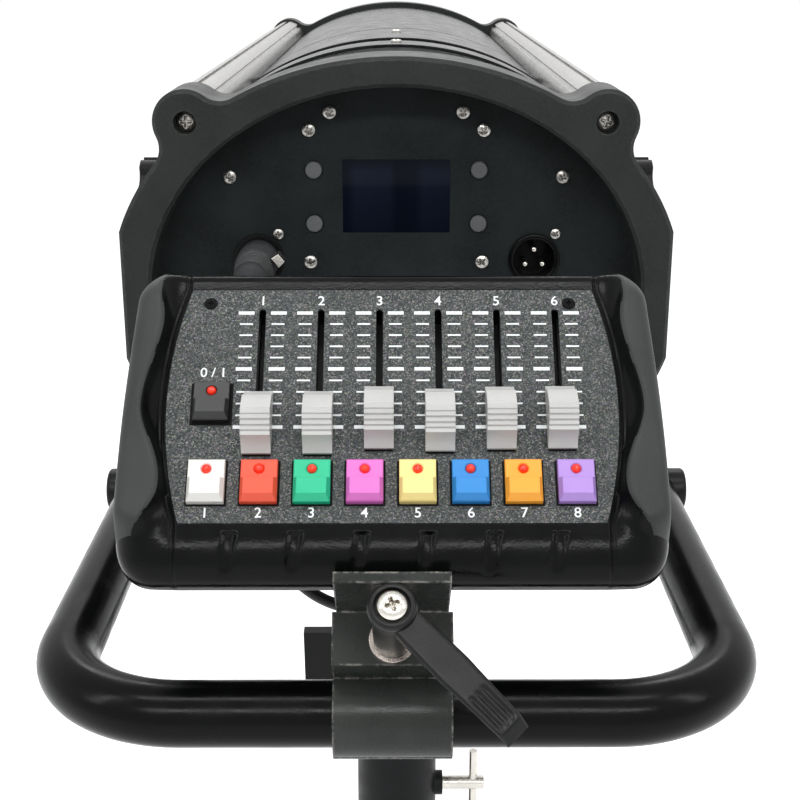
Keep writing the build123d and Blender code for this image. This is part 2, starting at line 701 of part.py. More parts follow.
def make_socket():
    """Stand socket: blind bore for the spigot below, spindle bore above."""
    socket = Cylinder(SOCKET_R, SOCKET_TOP, align=(Align.CENTER, Align.CENTER, Align.MIN))
    socket -= rod((0, 0, -1), (0, 0, SPIGOT_DEEP), SPIGOT_R)
    socket -= rod((0, 0, SOCKET_TOP - SPINDLE_L - 1), (0, 0, SOCKET_TOP + 1), SPINDLE_R + RUN)
    socket += rod((SOCKET_R - 2, 0, TBOLT_Z), (SOCKET_R + 5, 0, TBOLT_Z), SOCKET_BOSS_R)
    socket -= rod((0, 0, TBOLT_Z), (SOCKET_R + 9, 0, TBOLT_Z), TBOLT_R + RUN)
    socket += rod((-SOCKET_R + 3, 0, PAN_LEVER_Z), (-SOCKET_R - PAN_BOSS_OUT, 0, PAN_LEVER_Z),
                  SOCKET_BOSS_R)
    socket -= rod((0, 0, PAN_LEVER_Z), (-SOCKET_R - 9, 0, PAN_LEVER_Z),
                  PAN_SCREW_R + RUN)
    foot = socket.edges().filter_by_position(Axis.Z, -0.01, 0.01)
    return fillet(foot.sort_by(SortBy.LENGTH)[-1], 1.0)


def make_t_bolt():
    bolt = rod((SPIGOT_R + GAP, 0, TBOLT_Z), (TBOLT_OUT, 0, TBOLT_Z), TBOLT_R)
    bar = rod((TBAR_X, 0, TBOLT_Z - TBAR_L / 2), (TBAR_X, 0, TBOLT_Z + TBAR_L / 2), TBAR_R)
    return bolt + bar


def make_pan_lever():
    """Brake screw through the socket's left side, with an upright paddle."""
    hub_x = -SOCKET_R - PAN_BOSS_OUT - GAP
    lever = rod((-SPINDLE_R - GAP, 0, PAN_LEVER_Z), (hub_x - 2, 0, PAN_LEVER_Z), PAN_SCREW_R)
    lever += rod((hub_x, 0, PAN_LEVER_Z), (-66, 0, PAN_LEVER_Z), PAN_HUB_R)
    paddle = Polyline((-45, PAN_LEVER_Z - 6), (-66, PAN_LEVER_Z - 6), (-67, PAN_LEVER_UP),
                      (-47, PAN_LEVER_UP), (-46, PAN_LEVER_Z + 30), (-43, PAN_LEVER_Z + 6),
                      (-45, PAN_LEVER_Z - 6))
    blade = extrude(Plane.XZ * make_face(paddle.edges()), 5, both=True)
    return lever + blade


def make_tilt_knob(side):
    """Lobed hand knob on a stud through yoke and boss, in head coordinates."""
    inner = FRAME_HALF_W - COVER_IN
    start = YOKE_IN + YOKE_T + GAP
    knob = Circle(KNOB_R)
    for i in range(KNOB_LOBES):
        knob -= Rot(0, 0, i * 360 / KNOB_LOBES) * Pos(KNOB_R + 4, 0) * Circle(KNOB_LOBE_R)
    plane = Plane(origin=(start + KNOB_NECK, PIVOT_FROM_REAR, 0), z_dir=(1, 0, 0))
    piece = extrude(plane * knob, KNOB_L - KNOB_NECK)
    piece += rod((start, PIVOT_FROM_REAR, 0), (start + KNOB_NECK + 1, PIVOT_FROM_REAR, 0), 12)
    piece += rod((inner + 0.5, PIVOT_FROM_REAR, 0), (start + 1, PIVOT_FROM_REAR, 0), PIVOT_R)
    return piece if side > 0 else mirror(piece, Plane.YZ)


# ---- handle ---------------------------------------------------------------
def make_handle():
    """U of round tube: two arms along the body and a cross bar behind."""
    points = [(-HANDLE_HALF, HANDLE_END_Y, HANDLE_Z), (-HANDLE_HALF, HANDLE_BAR_Y, HANDLE_Z),
              (HANDLE_HALF, HANDLE_BAR_Y, HANDLE_Z), (HANDLE_HALF, HANDLE_END_Y, HANDLE_Z)]
    path = FilletPolyline(*points, radius=HANDLE_BEND)
    ends = Plane(origin=points[0], z_dir=(0, -1, 0))
    tube = sweep(ends * (Circle(TUBE_R) - Circle(TUBE_R - TUBE_WALL)), path=path)
    caps = []
    for x in (-HANDLE_HALF, HANDLE_HALF):
        tube -= rod((x - 20, HANDLE_BOLT_Y, HANDLE_Z), (x + 20, HANDLE_BOLT_Y, HANDLE_Z), 4.2)
        caps.append(rod((x, HANDLE_END_Y, HANDLE_Z), (x, HANDLE_END_Y + 3, HANDLE_Z), TUBE_R))
    return [tube] + caps


def make_handle_bolt():
    """Shouldered bolt with a round cap outside the arm and a nut inside the hanger."""
    inner = HANDLE_HALF - TUBE_R - BRACKET_T
    outer = HANDLE_HALF + TUBE_R
    at = HANDLE_BOLT_Y
    shank = rod((inner - 8, at, HANDLE_Z), (outer + 2, at, HANDLE_Z), 4.0)
    saddle = rod((outer - 4, at, HANDLE_Z), (outer + 3, at, HANDLE_Z), HANDLE_BOLT_R)
    saddle -= rod((HANDLE_HALF, at - 20, HANDLE_Z), (HANDLE_HALF, at + 20, HANDLE_Z), TUBE_R)
    cap = rod((outer + 2.9, at, HANDLE_Z), (outer + HANDLE_CAP_T, at, HANDLE_Z), HANDLE_BOLT_R)
    cap = fillet(cap.edges().group_by(Axis.X)[-1], HANDLE_CAP_EDGE)
    nut = rod((inner - 6, at, HANDLE_Z), (inner, at, HANDLE_Z), 7.0)
    return shank + saddle + cap + nut


# ---- console --------------------------------------------------------------
def console_outline(inset=0.0):
    """Housing outline with slightly bowed sides, smaller all round by inset."""
    top, low = CONSOLE_TOP - inset, CONSOLE_LIP + inset
    end, mid, foot = (w - inset for w in (CONSOLE_HALF_TOP, CONSOLE_HALF_MID, CONSOLE_HALF_LOW))
    middle = (top + low) / 2
    sides = Line((-end, top), (end, top)) + ThreePointArc((end, top), (mid, middle), (foot, low))
    sides += Line((foot, low), (-foot, low))
    sides += ThreePointArc((-foot, low), (-mid, middle), (-end, top))
    face = make_face(sides.edges())
    return fillet(face.vertices(), CONSOLE_CORNER - inset / 2)


def panel_outline(grow=0.0):
    """Overlay with bowed sides."""
    top, low = PANEL_TOP + grow, PANEL_BOTTOM - grow
    end, mid = PANEL_HALF_END + grow, PANEL_HALF_MID + grow
    middle = (top + low) / 2
    sides = Line((-end, top), (end, top)) + ThreePointArc((end, top), (mid, middle), (end, low))
    sides += Line((end, low), (-end, low))
    sides += ThreePointArc((-end, low), (-mid, middle), (-end, top))
    return make_face(sides.edges())


def key_hole(x, v, width, length):
    return Pos(x, v) * Rectangle(width + 2 * GAP, length + 2 * GAP)


def panel_cuts(fader_w):
    """Slots, key holes and lamp hole, as one sketch."""
    slot_l = FADER_TRAVEL + 6
    cuts = [Pos(x, FADER_FOOT + FADER_TRAVEL / 2) * SlotOverall(slot_l, fader_w, 90)
            for x in FADER_X]
    cuts += [key_hole(x, KEY_ROW, KEY_W, KEY_L) for x in KEY_X]
    cuts.append(key_hole(LAMP_X, LAMP_V, KEY_W, LAMP_L))
    return cuts


def wing(side):
    """Raised side grip with an S-shaped inner edge."""
    out = CONSOLE_HALF_TOP
    top, low = CONSOLE_TOP - 8, CONSOLE_LIP + 22
    inner = Spline((out - 20, top - 4), (out - 8.5, top - 34), (out - 8.5, low + 36),
                   (out - 17, low + 3))
    edge = Line((out, low), (out, top)) + Line((out, top), (out - 17, top))
    edge += Line((out - 17, top), (out - 20, top - 4)) + inner
    edge += Line((out - 17, low + 3), (out, low))
    grip = extrude(make_face(edge.edges()), WING_HIGH)
    high = grip.edges().group_by(Axis.Z)[-1]
    grip = chamfer(high, 2.5)
    return grip if side > 0 else mirror(grip, Plane.YZ)


def make_console_top():
    """Upper housing with both wings, grip grooves and a pocket for the overlay."""
    body = extrude(console_outline(), CONSOLE_SPLIT)
    body = fillet(body.edges().group_by(Axis.Z)[-1], LIP_ROUND * 0.7)
    body += wing(1) + wing(-1)
    inside = extrude(console_outline(SHELL_T), CONSOLE_SPLIT + SHELL_T + OVERLAY_T)
    body -= Pos(0, 0, -SHELL_T - OVERLAY_T) * inside
    body -= Pos(0, 0, -OVERLAY_T) * extrude(panel_outline(0.1), 30)
    for i in range(GROOVES):
        x = (i - (GROOVES - 1) / 2) * GROOVE_PITCH
        turn = Rot(0, 0, GROOVE_TURN) * Rot(90, 0, 0)
        body -= Pos(x, GROOVE_V, GROOVE_R - GROOVE_DEEP) * turn * Cylinder(GROOVE_R, GROOVE_L)
    cuts = Sketch() + panel_cuts(SLOT_W)
    body -= Pos(0, 0, -20) * extrude(cuts, 20)
    return body


def make_console_base():
    """Lower housing with a floor, screw posts under the board, and the lead's gland."""
    body = loft([Pos(0, 0, CONSOLE_SPLIT) * console_outline(),
                 Pos(0, 0, -CONSOLE_DEEP) * console_outline(BASE_DRAW)])
    body = chamfer(body.edges().group_by(Axis.Z)[0], BASE_EDGE)
    draw = BASE_DRAW / (CONSOLE_DEEP + CONSOLE_SPLIT)
    high, low = CONSOLE_SPLIT + 1, SHELL_T - CONSOLE_DEEP
    hollow = loft([
        Pos(0, 0, high) * console_outline(SHELL_T + draw * (CONSOLE_SPLIT - high)),
        Pos(0, 0, low) * console_outline(SHELL_T + draw * (CONSOLE_SPLIT - low))])
    body -= chamfer(hollow.edges().group_by(Axis.Z)[0], BASE_EDGE)
    for x in (-BOARD_POST_X, BOARD_POST_X):
        for v in BOARD_POST_V:
            body += rod((x, v, -CONSOLE_DEEP + 1), (x, v, BOARD_N), BOARD_POST_R)
    gland = rod((GLAND_X, GLAND_V, -CONSOLE_DEEP + 1), (GLAND_X, GLAND_V, -CONSOLE_DEEP - GLAND_L), 5.0)
    return body + gland


def make_console_panel():
    return extrude(panel_outline() - panel_cuts(SLOT_W), -OVERLAY_T)


def make_circuit_board():
    """Board with fader tracks, key switches and the indicator lights."""
    foot = BOARD_N + BOARD_T
    board = block((-84, 84), (-92, 12), (BOARD_N, foot))
    pieces = [board]
    for x in FADER_X:
        track = block((x - 4.5, x + 4.5), (FADER_FOOT - 7, FADER_FOOT + FADER_TRAVEL + 7),
                      (foot, foot + 7))
        track -= block((x - 1.5, x + 1.5), (FADER_FOOT - 4, FADER_FOOT + FADER_TRAVEL + 4),
                       (foot + 1.5, foot + 9))
        pieces.append(track)
    for x, v, length in [(x, KEY_ROW, KEY_L) for x in KEY_X] + [(LAMP_X, LAMP_V, LAMP_L)]:
        led_v = v + length / 2 - LED_IN
        switch = block((x - 5, x + 5), (v - 6, v + 2), (foot, KEY_FOOT - KEY_TRAVEL - GAP))
        pieces.append(switch)
        lamp = rod((x, led_v, foot), (x, led_v, LED_TOP - LED_R), LED_R)
        lamp += Pos(x, led_v, LED_TOP - LED_R) * Sphere(LED_R)
        pieces.append(lamp)
    return pieces


def make_fader_cap(index):
    """Waisted cap with raised cheeks and a stem down into the track."""
    x, v = FADER_X[index], FADER_FOOT + FADER_REST[index]
    half = CAP_L / 2
    low, high = 0.8, CAP_H
    side = Line((-half, low), (half, low)) + Line((half, low), (half, low + 3.2))
    side += ThreePointArc((half, low + 3.2), (half - 4.6, high - 3.2), (half - 5.2, high))
    side += ThreePointArc((half - 5.2, high), (0, high - 1.6), (-half + 5.2, high))
    side += ThreePointArc((-half + 5.2, high), (-half + 4.6, high - 3.2), (-half, low + 3.2))
    side += Line((-half, low + 3.2), (-half, low))
    face = Plane(origin=(x, v, 0), x_dir=(0, 1, 0), z_dir=(1, 0, 0)) * make_face(side.edges())
    cap = extrude(face, CAP_W / 2, both=True)
    stem = block((x - STEM_W / 2, x + STEM_W / 2), (v - 2, v + 2), (BOARD_N + BOARD_T + 2, low + 2))
    return cap + stem


def make_key(x, v, length):
    """Key with a flat strip round its light and a raised bevelled pad."""
    half_w, half_l = KEY_W / 2, length / 2
    led_v = v + half_l - LED_IN
    base = block((x - half_w, x + half_w), (v - half_l, v + half_l), (KEY_FOOT, KEY_H - 2.2))
    pad = block((x - half_w, x + half_w), (v - half_l, v + half_l - KEY_STRIP), (0, KEY_H))
    pad = chamfer(pad.edges().group_by(Axis.Z)[-1], 1.6)
    key = base + pad
    return key - rod((x, led_v, KEY_FOOT - 1), (x, led_v, KEY_H + 1), LED_R + GAP)


def make_menu_button(x, z):
    cap = along_y(Pos(x, z) * Circle(MENU_R), PANEL_SEAT - 1.6, 5.2)
    return chamfer(cap.edges().filter_by_position(Axis.Y, PANEL_SEAT - 1.61, PANEL_SEAT - 1.59), 0.5)


# ---- tube clamp, drawn in the panel's (v, n) and extruded across ----------
def across(sketch, width):
    plane = Plane(origin=(0, 0, 0), x_dir=(0, 1, 0), z_dir=(1, 0, 0))
    return extrude(plane * sketch, width / 2, both=True)


def rect_vn(v, n):
    return Pos((v[0] + v[1]) / 2, (n[0] + n[1]) / 2) * Rectangle(v[1] - v[0], n[1] - n[0])


def clamp_section(upper):
    """One jaw: shell round the tube with its seat under the stud."""
    split = BAR_N + (CLAMP_SLIT / 2 if upper else -CLAMP_SLIT / 2)
    shell = Pos(BAR_V, BAR_N) * Circle(CLAMP_R)
    if upper:
        body = shell + rect_vn((SHELF_V, CONSOLE_LIP), (split, SHELF_N))
        body += rect_vn((CONSOLE_LIP - CLAMP_PLATE, CONSOLE_LIP), (-CONSOLE_DEEP + 4, CLAMP_TOP))
        body &= rect_vn((BAR_V - 40, CONSOLE_LIP), (split, CLAMP_TOP))
    else:
        body = shell + rect_vn((SHELF_V, STUD_V + 10), (split - JAW_EAR, split))
        body &= rect_vn((BAR_V - 40, CONSOLE_LIP), (BAR_N - 40, split))
    return body - Pos(BAR_V, BAR_N) * Circle(TUBE_R + 0.1)


def make_clamp(upper):
    jaw = across(clamp_section(upper), CLAMP_W)
    plate = (CONSOLE_LIP - CLAMP_PLATE - GAP, CONSOLE_LIP + 1)
    for side in (-1, 1):
        edges = sorted((side * CLAMP_PLATE_W / 2, side * CLAMP_W))
        jaw -= block(edges, plate, (-CONSOLE_DEEP, CLAMP_TOP + 1))
    return jaw - rod((0, STUD_V, -110), (0, STUD_V, SHELF_N + 1), STUD_R + 0.2)


def make_stud():
    """Stud with its nut under the lower jaw and a washer on the shelf."""
    low = BAR_N - CLAMP_SLIT / 2 - JAW_EAR
    stud = rod((0, STUD_V, low - 7), (0, STUD_V, STUD_TOP), STUD_R)
    stud += rod((0, STUD_V, low - 6), (0, STUD_V, low), 7.0)
    washer = rod((0, STUD_V, SHELF_N), (0, STUD_V, SHELF_N + 2), WASHER_R)
    washer -= rod((0, STUD_V, SHELF_N - 1), (0, STUD_V, SHELF_N + 3), STUD_R + RUN)
    return stud, washer


def make_clamp_lever():
    """Hub on the stud with one tapered arm."""
    low = SHELF_N + 2 + GAP
    hub = rod((0, STUD_V, low), (0, STUD_V, LEVER_TOP - 4), LEVER_HUB_R)
    root, middle, tip = LEVER_HALF
    half = LEVER_LONG / 2
    arm = Polyline((0, -root), (half, -middle), (LEVER_LONG, -tip), (LEVER_LONG, tip),
                   (half, middle), (0, root), (0, -root))
    blade = extrude(make_face(arm.edges()), -LEVER_THICK)
    turn = Rot(0, 0, LEVER_TURN) * Rot(0, LEVER_DROP, 0)
    blade = Pos(0, STUD_V, LEVER_TOP - LEVER_THICK / 2) * turn * blade
    screw_head = rod((0, STUD_V, LEVER_TOP - 6), (0, STUD_V, LEVER_TOP), 5.2)
    bore = rod((0, STUD_V, low - 1), (0, STUD_V, STUD_TOP + GAP), STUD_R + RUN)
    return hub + blade - bore + screw_head


# ---- lead between console and head ----------------------------------------
def lead_radii(points):
    """Radius at each corner: 0.45 of the shorter run over the tangent of half the turn."""
    radii = []
    for a, b, c in zip(points, points[1:], points[2:]):
        first, second = Vector(*b) - Vector(*a), Vector(*c) - Vector(*b)
        half = math.radians(first.get_angle(second)) / 2
        radii.append(0.45 * min(first.length, second.length) / math.tan(half))
    return radii


def gland_point(beyond):
    """A point on the gland's axis, this far beyond its mouth, in head coordinates."""
    depth = -CONSOLE_DEEP - GLAND_L - beyond
    spot = PANEL_PLANE.from_local_coords((GLAND_X, GLAND_V, depth))
    return (spot.X, spot.Y, spot.Z)


def make_lead():
    points = LEAD_ROUTE + [gland_point(GLAND_RUN), gland_point(0)]
    radii = lead_radii(points)
    print("lead radii", [round(r, 1) for r in radii])
    path = FilletPolyline(*points, radius=radii)
    start = Plane(origin=points[0], z_dir=Vector(*points[1]) - Vector(*points[0]))
    tube = sweep(start * Circle(LEAD_R), path=path)
    expected = math.pi * LEAD_R ** 2 * path.length
    print("lead length", round(path.length, 1), "volume ratio", round(tube.volume / expected, 4))
    return tube


def make_plug():
    """Cable plug in the left socket, with its boot."""
    inside = PANEL_SEAT + 12.5
    plug = rod((-XLR_X, inside, XLR_Z), (-XLR_X, PLUG_OUT, XLR_Z), PLUG_R)
    boot = Cone(PLUG_R - 1.5, LEAD_R + 1.5, PLUG_OUT - BOOT_END)
    middle = (PLUG_OUT + BOOT_END) / 2
    return plug + Pos(-XLR_X, middle, XLR_Z) * Rot(90, 0, 0) * boot


# ---- write every node -----------------------------------------------------
HERE = Location((0, 0, 0))
save("stand_socket", HERE, make_socket())
save("t_bolt", HERE, make_t_bolt())
save("pan_lever", HERE, make_pan_lever())
save("yoke", HEAD, make_yoke())
save("tilt_knob_left", HEAD, make_tilt_knob(-1))
save("tilt_knob_right", HEAD, make_tilt_knob(1))

save("side_brackets", HEAD, *both_sides(make_side_bracket()))
save("rear_frame", HEAD, make_rear_frame())
save("rear_panel", HEAD, make_rear_panel())
save("display", HEAD, *make_display())
save("rear_connectors", HEAD, *make_connectors())
save("machine_screws", HEAD, *make_screws())
save("corner_rails", HEAD, *make_rails())
save("top_slats", HEAD, *make_slats())
save("top_cover", HEAD, make_top_cover())
save("lower_cover", HEAD, make_lower_cover())
save("front_frame", HEAD, make_front_frame())
save("lens_tube", HEAD, make_nose())
save("front_lens", HEAD, make_front_lens())
save("heat_sink", HEAD, make_heat_sink())
save("led_module", HEAD, *make_led())
save("fan_frame", HEAD, *make_fan_frame())
save("fan_rotor", HEAD, make_fan_rotor())
save("optics_frame", HEAD, *make_optics_frame())
save("color_wheel", HEAD, *make_color_wheel())
save("iris_ring", HEAD, make_iris())
save("focus_carriage", HEAD, *make_carriage(FOCUS_Y, LENS_R))
save("zoom_carriage", HEAD, *make_carriage(ZOOM_Y, LENS_R))
save("driver_box", HEAD, *make_driver())
for number, (x, z) in enumerate([(x, z) for x in (-MENU_X, MENU_X) for z in MENU_Z], 1):
    save(f"menu_button_{number}", HEAD, make_menu_button(x, z))
save("handle_tube", HEAD, *make_handle())
save("handle_bolts", HEAD, *both_sides(make_handle_bolt()))

save("console_top", CONSOLE, make_console_top())
save("console_base", CONSOLE, make_console_base())
save("console_panel", CONSOLE, make_console_panel())
save("circuit_board", CONSOLE, *make_circuit_board())
for number in range(6):
    save(f"fader_cap_{number + 1}", CONSOLE, make_fader_cap(number))
for number, x in enumerate(KEY_X, 1):
    save(f"color_key_{number}", CONSOLE, make_key(x, KEY_ROW, KEY_L))
save("lamp_key", CONSOLE, make_key(LAMP_X, LAMP_V, LAMP_L))
save("console_bracket", CONSOLE, make_clamp(True))
save("clamp_jaw", CONSOLE, make_clamp(False))
save("clamp_stud", CONSOLE, *make_stud())
save("clamp_lever", CONSOLE, make_clamp_lever())
save("lead", HEAD, make_lead())
save("lead_plug", HEAD, make_plug())
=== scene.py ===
import json
import math
import bmesh
import bpy
from mathutils import Matrix, Vector


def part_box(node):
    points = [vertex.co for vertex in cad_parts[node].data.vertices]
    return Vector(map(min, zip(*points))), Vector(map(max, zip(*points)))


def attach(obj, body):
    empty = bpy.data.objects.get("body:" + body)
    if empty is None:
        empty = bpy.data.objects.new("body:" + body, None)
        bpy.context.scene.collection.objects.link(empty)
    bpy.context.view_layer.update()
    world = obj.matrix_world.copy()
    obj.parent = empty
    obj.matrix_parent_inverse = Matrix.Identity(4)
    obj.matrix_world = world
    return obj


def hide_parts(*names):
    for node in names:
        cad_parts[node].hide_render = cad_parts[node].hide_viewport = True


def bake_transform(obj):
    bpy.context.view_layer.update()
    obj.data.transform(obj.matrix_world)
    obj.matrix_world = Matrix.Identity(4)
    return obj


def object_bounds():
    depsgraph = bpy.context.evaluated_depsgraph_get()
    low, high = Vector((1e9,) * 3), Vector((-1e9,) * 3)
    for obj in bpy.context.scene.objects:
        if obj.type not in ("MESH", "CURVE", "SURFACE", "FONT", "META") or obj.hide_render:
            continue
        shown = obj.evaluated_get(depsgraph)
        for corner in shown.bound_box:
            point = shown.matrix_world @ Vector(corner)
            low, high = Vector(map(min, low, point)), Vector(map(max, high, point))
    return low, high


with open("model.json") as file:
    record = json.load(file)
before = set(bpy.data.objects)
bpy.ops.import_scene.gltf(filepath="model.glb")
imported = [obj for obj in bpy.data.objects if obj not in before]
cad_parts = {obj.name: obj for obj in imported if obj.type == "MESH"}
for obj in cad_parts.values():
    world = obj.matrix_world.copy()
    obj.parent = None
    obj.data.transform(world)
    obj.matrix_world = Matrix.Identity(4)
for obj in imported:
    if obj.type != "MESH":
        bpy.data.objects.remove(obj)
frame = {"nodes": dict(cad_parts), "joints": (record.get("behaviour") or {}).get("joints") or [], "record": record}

CAD_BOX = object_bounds()
MM = 0.001
NODES = frame["nodes"]


# ---- places taken from the frame -------------------------------------------
def joint(name):
    return next(j for j in frame["joints"] if j["name"] == name)


TILT_AXIS = Vector(joint("tilt")["pos_m"])
REAR_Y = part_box("rear_frame")[0][1]
# HEAD takes millimetres from the ring's centre on the lamp axis to the world.
HEAD = Matrix.Translation((0, REAR_Y, TILT_AXIS.z)) @ Matrix.Scale(MM, 4)
UP_PANEL = Vector(joint("fader_1_slide")["axis"]).normalized()
OUT_PANEL = -Vector(joint("color_key_1_press")["axis"]).normalized()
CONSOLE_SPIN = Matrix((Vector((1, 0, 0)), UP_PANEL, OUT_PANEL)).transposed().to_4x4()
FADER_TOP = HEAD @ Vector((-1.5, -96.6, 17.2))      # upper end of the scales, on the panel
CONSOLE = Matrix.Translation(FADER_TOP) @ CONSOLE_SPIN @ Matrix.Scale(MM, 4)


def in_console(point):
    """World point to console millimetres (x, up the panel, out of it)."""
    return CONSOLE.inverted() @ Vector(point)


# ---- camera ------------------------------------------------------------------
LENS, SENSOR = 63.0, 36.0
CAMERA_AT = Vector((0, -612, 149))
CAMERA_PITCH = math.radians(17.9)
CAMERA_YAW = math.radians(-0.15)
camera = bpy.data.objects.new("camera", bpy.data.cameras.new("camera"))
bpy.context.collection.objects.link(camera)
camera.data.lens = LENS
camera.data.sensor_width = SENSOR
camera.data.clip_start = 0.01
camera.location = HEAD @ CAMERA_AT
camera.rotation_euler = (math.pi / 2 - CAMERA_PITCH, 0, CAMERA_YAW)
bpy.context.scene.camera = camera


# ---- mesh helpers ----------------------------------------------------------
def new_piece(name, mesh, body=None):
    piece = bpy.data.objects.new(name, mesh)
    bpy.context.collection.objects.link(piece)
    if body:
        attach(piece, body)
    return piece


def solid(name, bm, body, finishes, matrix=None, sharp=0.6, bevel=0.0, steps=2):
    """Finish a bmesh: bevel its sharp edges, shade it, put it in place and give it a body."""
    if bevel:
        edges = [e for e in bm.edges if e.is_manifold and e.calc_face_angle() > sharp]
        bmesh.ops.bevel(bm, geom=edges, offset=bevel, segments=steps, profile=0.5,
                        affect="EDGES", clamp_overlap=True)
    bmesh.ops.recalc_face_normals(bm, faces=bm.faces)
    for face in bm.faces:
        face.smooth = True
    for edge in bm.edges:
        if edge.is_manifold and edge.calc_face_angle() > sharp:
            edge.smooth = False
    if matrix is not None:
        bm.transform(matrix)
    mesh = bpy.data.meshes.new(name)
    bm.to_mesh(mesh)
    bm.free()
    for finish in finishes if isinstance(finishes, (list, tuple)) else [finishes]:
        mesh.materials.append(finish)
    piece = new_piece(name, mesh, body)
    return piece


def grid(bm, rows, closed=False, mask=None):
    """Quads between rows of points; returns the vertices row by row."""
    made = [[bm.verts.new(p) for p in row] for row in rows]
    for i in range(len(made) - 1):
        count = len(made[i])
        for j in range(count if closed else count - 1):
            if mask and not mask(i, j):
                continue
            k = (j + 1) % count
            bm.faces.new((made[i][j], made[i][k], made[i + 1][k], made[i + 1][j]))
    return made


def wall(bm, first, second):
    """Quads between two closed rings of vertices."""
    for i in range(len(first)):
        j = (i + 1) % len(first)
        bm.faces.new((first[i], first[j], second[j], second[i]))


def circle(radius, count, x=0.0, y=0.0):
    """Points (x, y) evenly round a circle."""
    turns = [2 * math.pi * k / count for k in range(count)]
    return [(x + radius * math.cos(t), y + radius * math.sin(t)) for t in turns]


def at_height(points, z):
    return [(x, y, z) for x, y in points]


def turned(bm, profile, segments=48, caps=True):
    """Turn a profile of (radius, height) round local Z."""
    made = grid(bm, [at_height(circle(r, segments), h) for r, h in profile], closed=True)
    if caps:
        bm.faces.new(made[0])
        bm.faces.new(made[-1])


def prism(bm, outline, low, high, axis=2):
    """Extrude an outline of (a, b) pairs along one axis."""
    def at(a, b, c):
        return {0: (c, a, b), 1: (a, c, b), 2: (a, b, c)}[axis]
    bottom = [bm.verts.new(at(a, b, low)) for a, b in outline]
    top = [bm.verts.new(at(a, b, high)) for a, b in outline]
    wall(bm, bottom, top)
    bm.faces.new(bottom)
    bm.faces.new(top)


def rectangle(x0, x1, y0, y1):
    return [(x0, y0), (x1, y0), (x1, y1), (x0, y1)]


def tapered(bm, low_box, high_box, bottom=True):
    """Block between two rectangles (x0, x1, y0, y1, z)."""
    low, high = [[bm.verts.new(p) for p in at_height(rectangle(*box[:4]), box[4])]
                 for box in (low_box, high_box)]
    wall(bm, low, high)
    if bottom:
        bm.faces.new(low)
    bm.faces.new(high)


def flat_bar(bm, x0, x1, y0, y1, low, high):
    tapered(bm, (x0, x1, y0, y1, low), (x0, x1, y0, y1, high))


def absorb(bm, part, matrix):
    """Put a small bmesh in place inside a larger one."""
    part.transform(matrix)
    mesh = bpy.data.meshes.new("part")
    part.to_mesh(mesh)
    part.free()
    bm.from_mesh(mesh)
    bpy.data.meshes.remove(mesh)


def box_of(points):
    return (Vector([min(p[i] for p in points) for i in range(3)]),
            Vector([max(p[i] for p in points) for i in range(3)]))


def meshed(thing):
    """The mesh that a curve or text object makes; the object goes."""
    bpy.context.collection.objects.link(thing)
    bpy.context.view_layer.update()
    ready = thing.evaluated_get(bpy.context.evaluated_depsgraph_get())
    mesh = bpy.data.meshes.new_from_object(ready)
    bpy.data.objects.remove(thing)
    return mesh


def smooth(value, low, high):
    t = min(1.0, max(0.0, (value - low) / (high - low)))
    return t * t * (3 - 2 * t)


def islands(node):
    """Boxes of a node's separate solids, as (low, high) in world metres."""
    bm = bmesh.new()
    bm.from_mesh(NODES[node].data)
    bmesh.ops.remove_doubles(bm, verts=bm.verts, dist=1e-6)
    seen, boxes = set(), []
    for start in bm.verts:
        if start in seen:
            continue
        group, stack = [], [start]
        seen.add(start)
        while stack:
            vert = stack.pop()
            group.append(vert.co.copy())
            for edge in vert.link_edges:
                other = edge.other_vert(vert)
                if other not in seen:
                    seen.add(other)
                    stack.append(other)
        boxes.append(box_of(group))
    bm.free()
    return boxes


def console_box(node):
    """A node's box in console millimetres."""
    return box_of([in_console(v.co) for v in NODES[node].data.vertices])


# ---- the lead's line ---------------------------------------------------------
LEAD_D = 5.0
LEAD_POINTS = [HEAD @ Vector(p) for p in (
    (-63.7, -26.0, 11.8), (-63.7, -36.5, 11.8), (-63.9, -43.8, 3.2), (-64.2, -45.0, -9.0),
    (-64.0, -46.0, -24.0), (-63.2, -50.5, -44.0), (-60.5, -59.0, -67.0), (-53.5, -68.5, -91.0),
    (-39.0, -77.5, -108.0), (-18.0, -82.5, -115.0), (3.0, -82.0, -112.0), (17.0, -78.0, -100.0),
    (22.5, -76.0, -83.5), (23.5, -81.69, -65.88), (23.5, -92.57, -55.56))]
curve = bpy.data.curves.new("lead_line", "CURVE")
curve.dimensions = "3D"
spline = curve.splines.new("NURBS")
spline.points.add(len(LEAD_POINTS) - 1)
for point, place in zip(spline.points, LEAD_POINTS):
    point.co = (*place, 1)
spline.order_u = 3
spline.use_endpoint_u = True
spline.resolution_u = 12
read = meshed(bpy.data.objects.new("lead_line", curve))
LEAD_LINE = [v.co.copy() for v in read.vertices]


def tube_rows(line, radius, segments=20):
    """Rings round a line of points, turned as little as possible from one to the next."""
    rows, side = [], None
    for i, point in enumerate(line):
        ahead = (line[min(i + 1, len(line) - 1)] - line[max(i - 1, 0)]).normalized()
        if side is None:
            side = ahead.orthogonal().normalized()
        side = (side - ahead * side.dot(ahead)).normalized()
        other = ahead.cross(side)
        rows.append([point + radius * (math.cos(a) * side + math.sin(a) * other)
                     for a in (2 * math.pi * k / segments for k in range(segments))])
    return rows


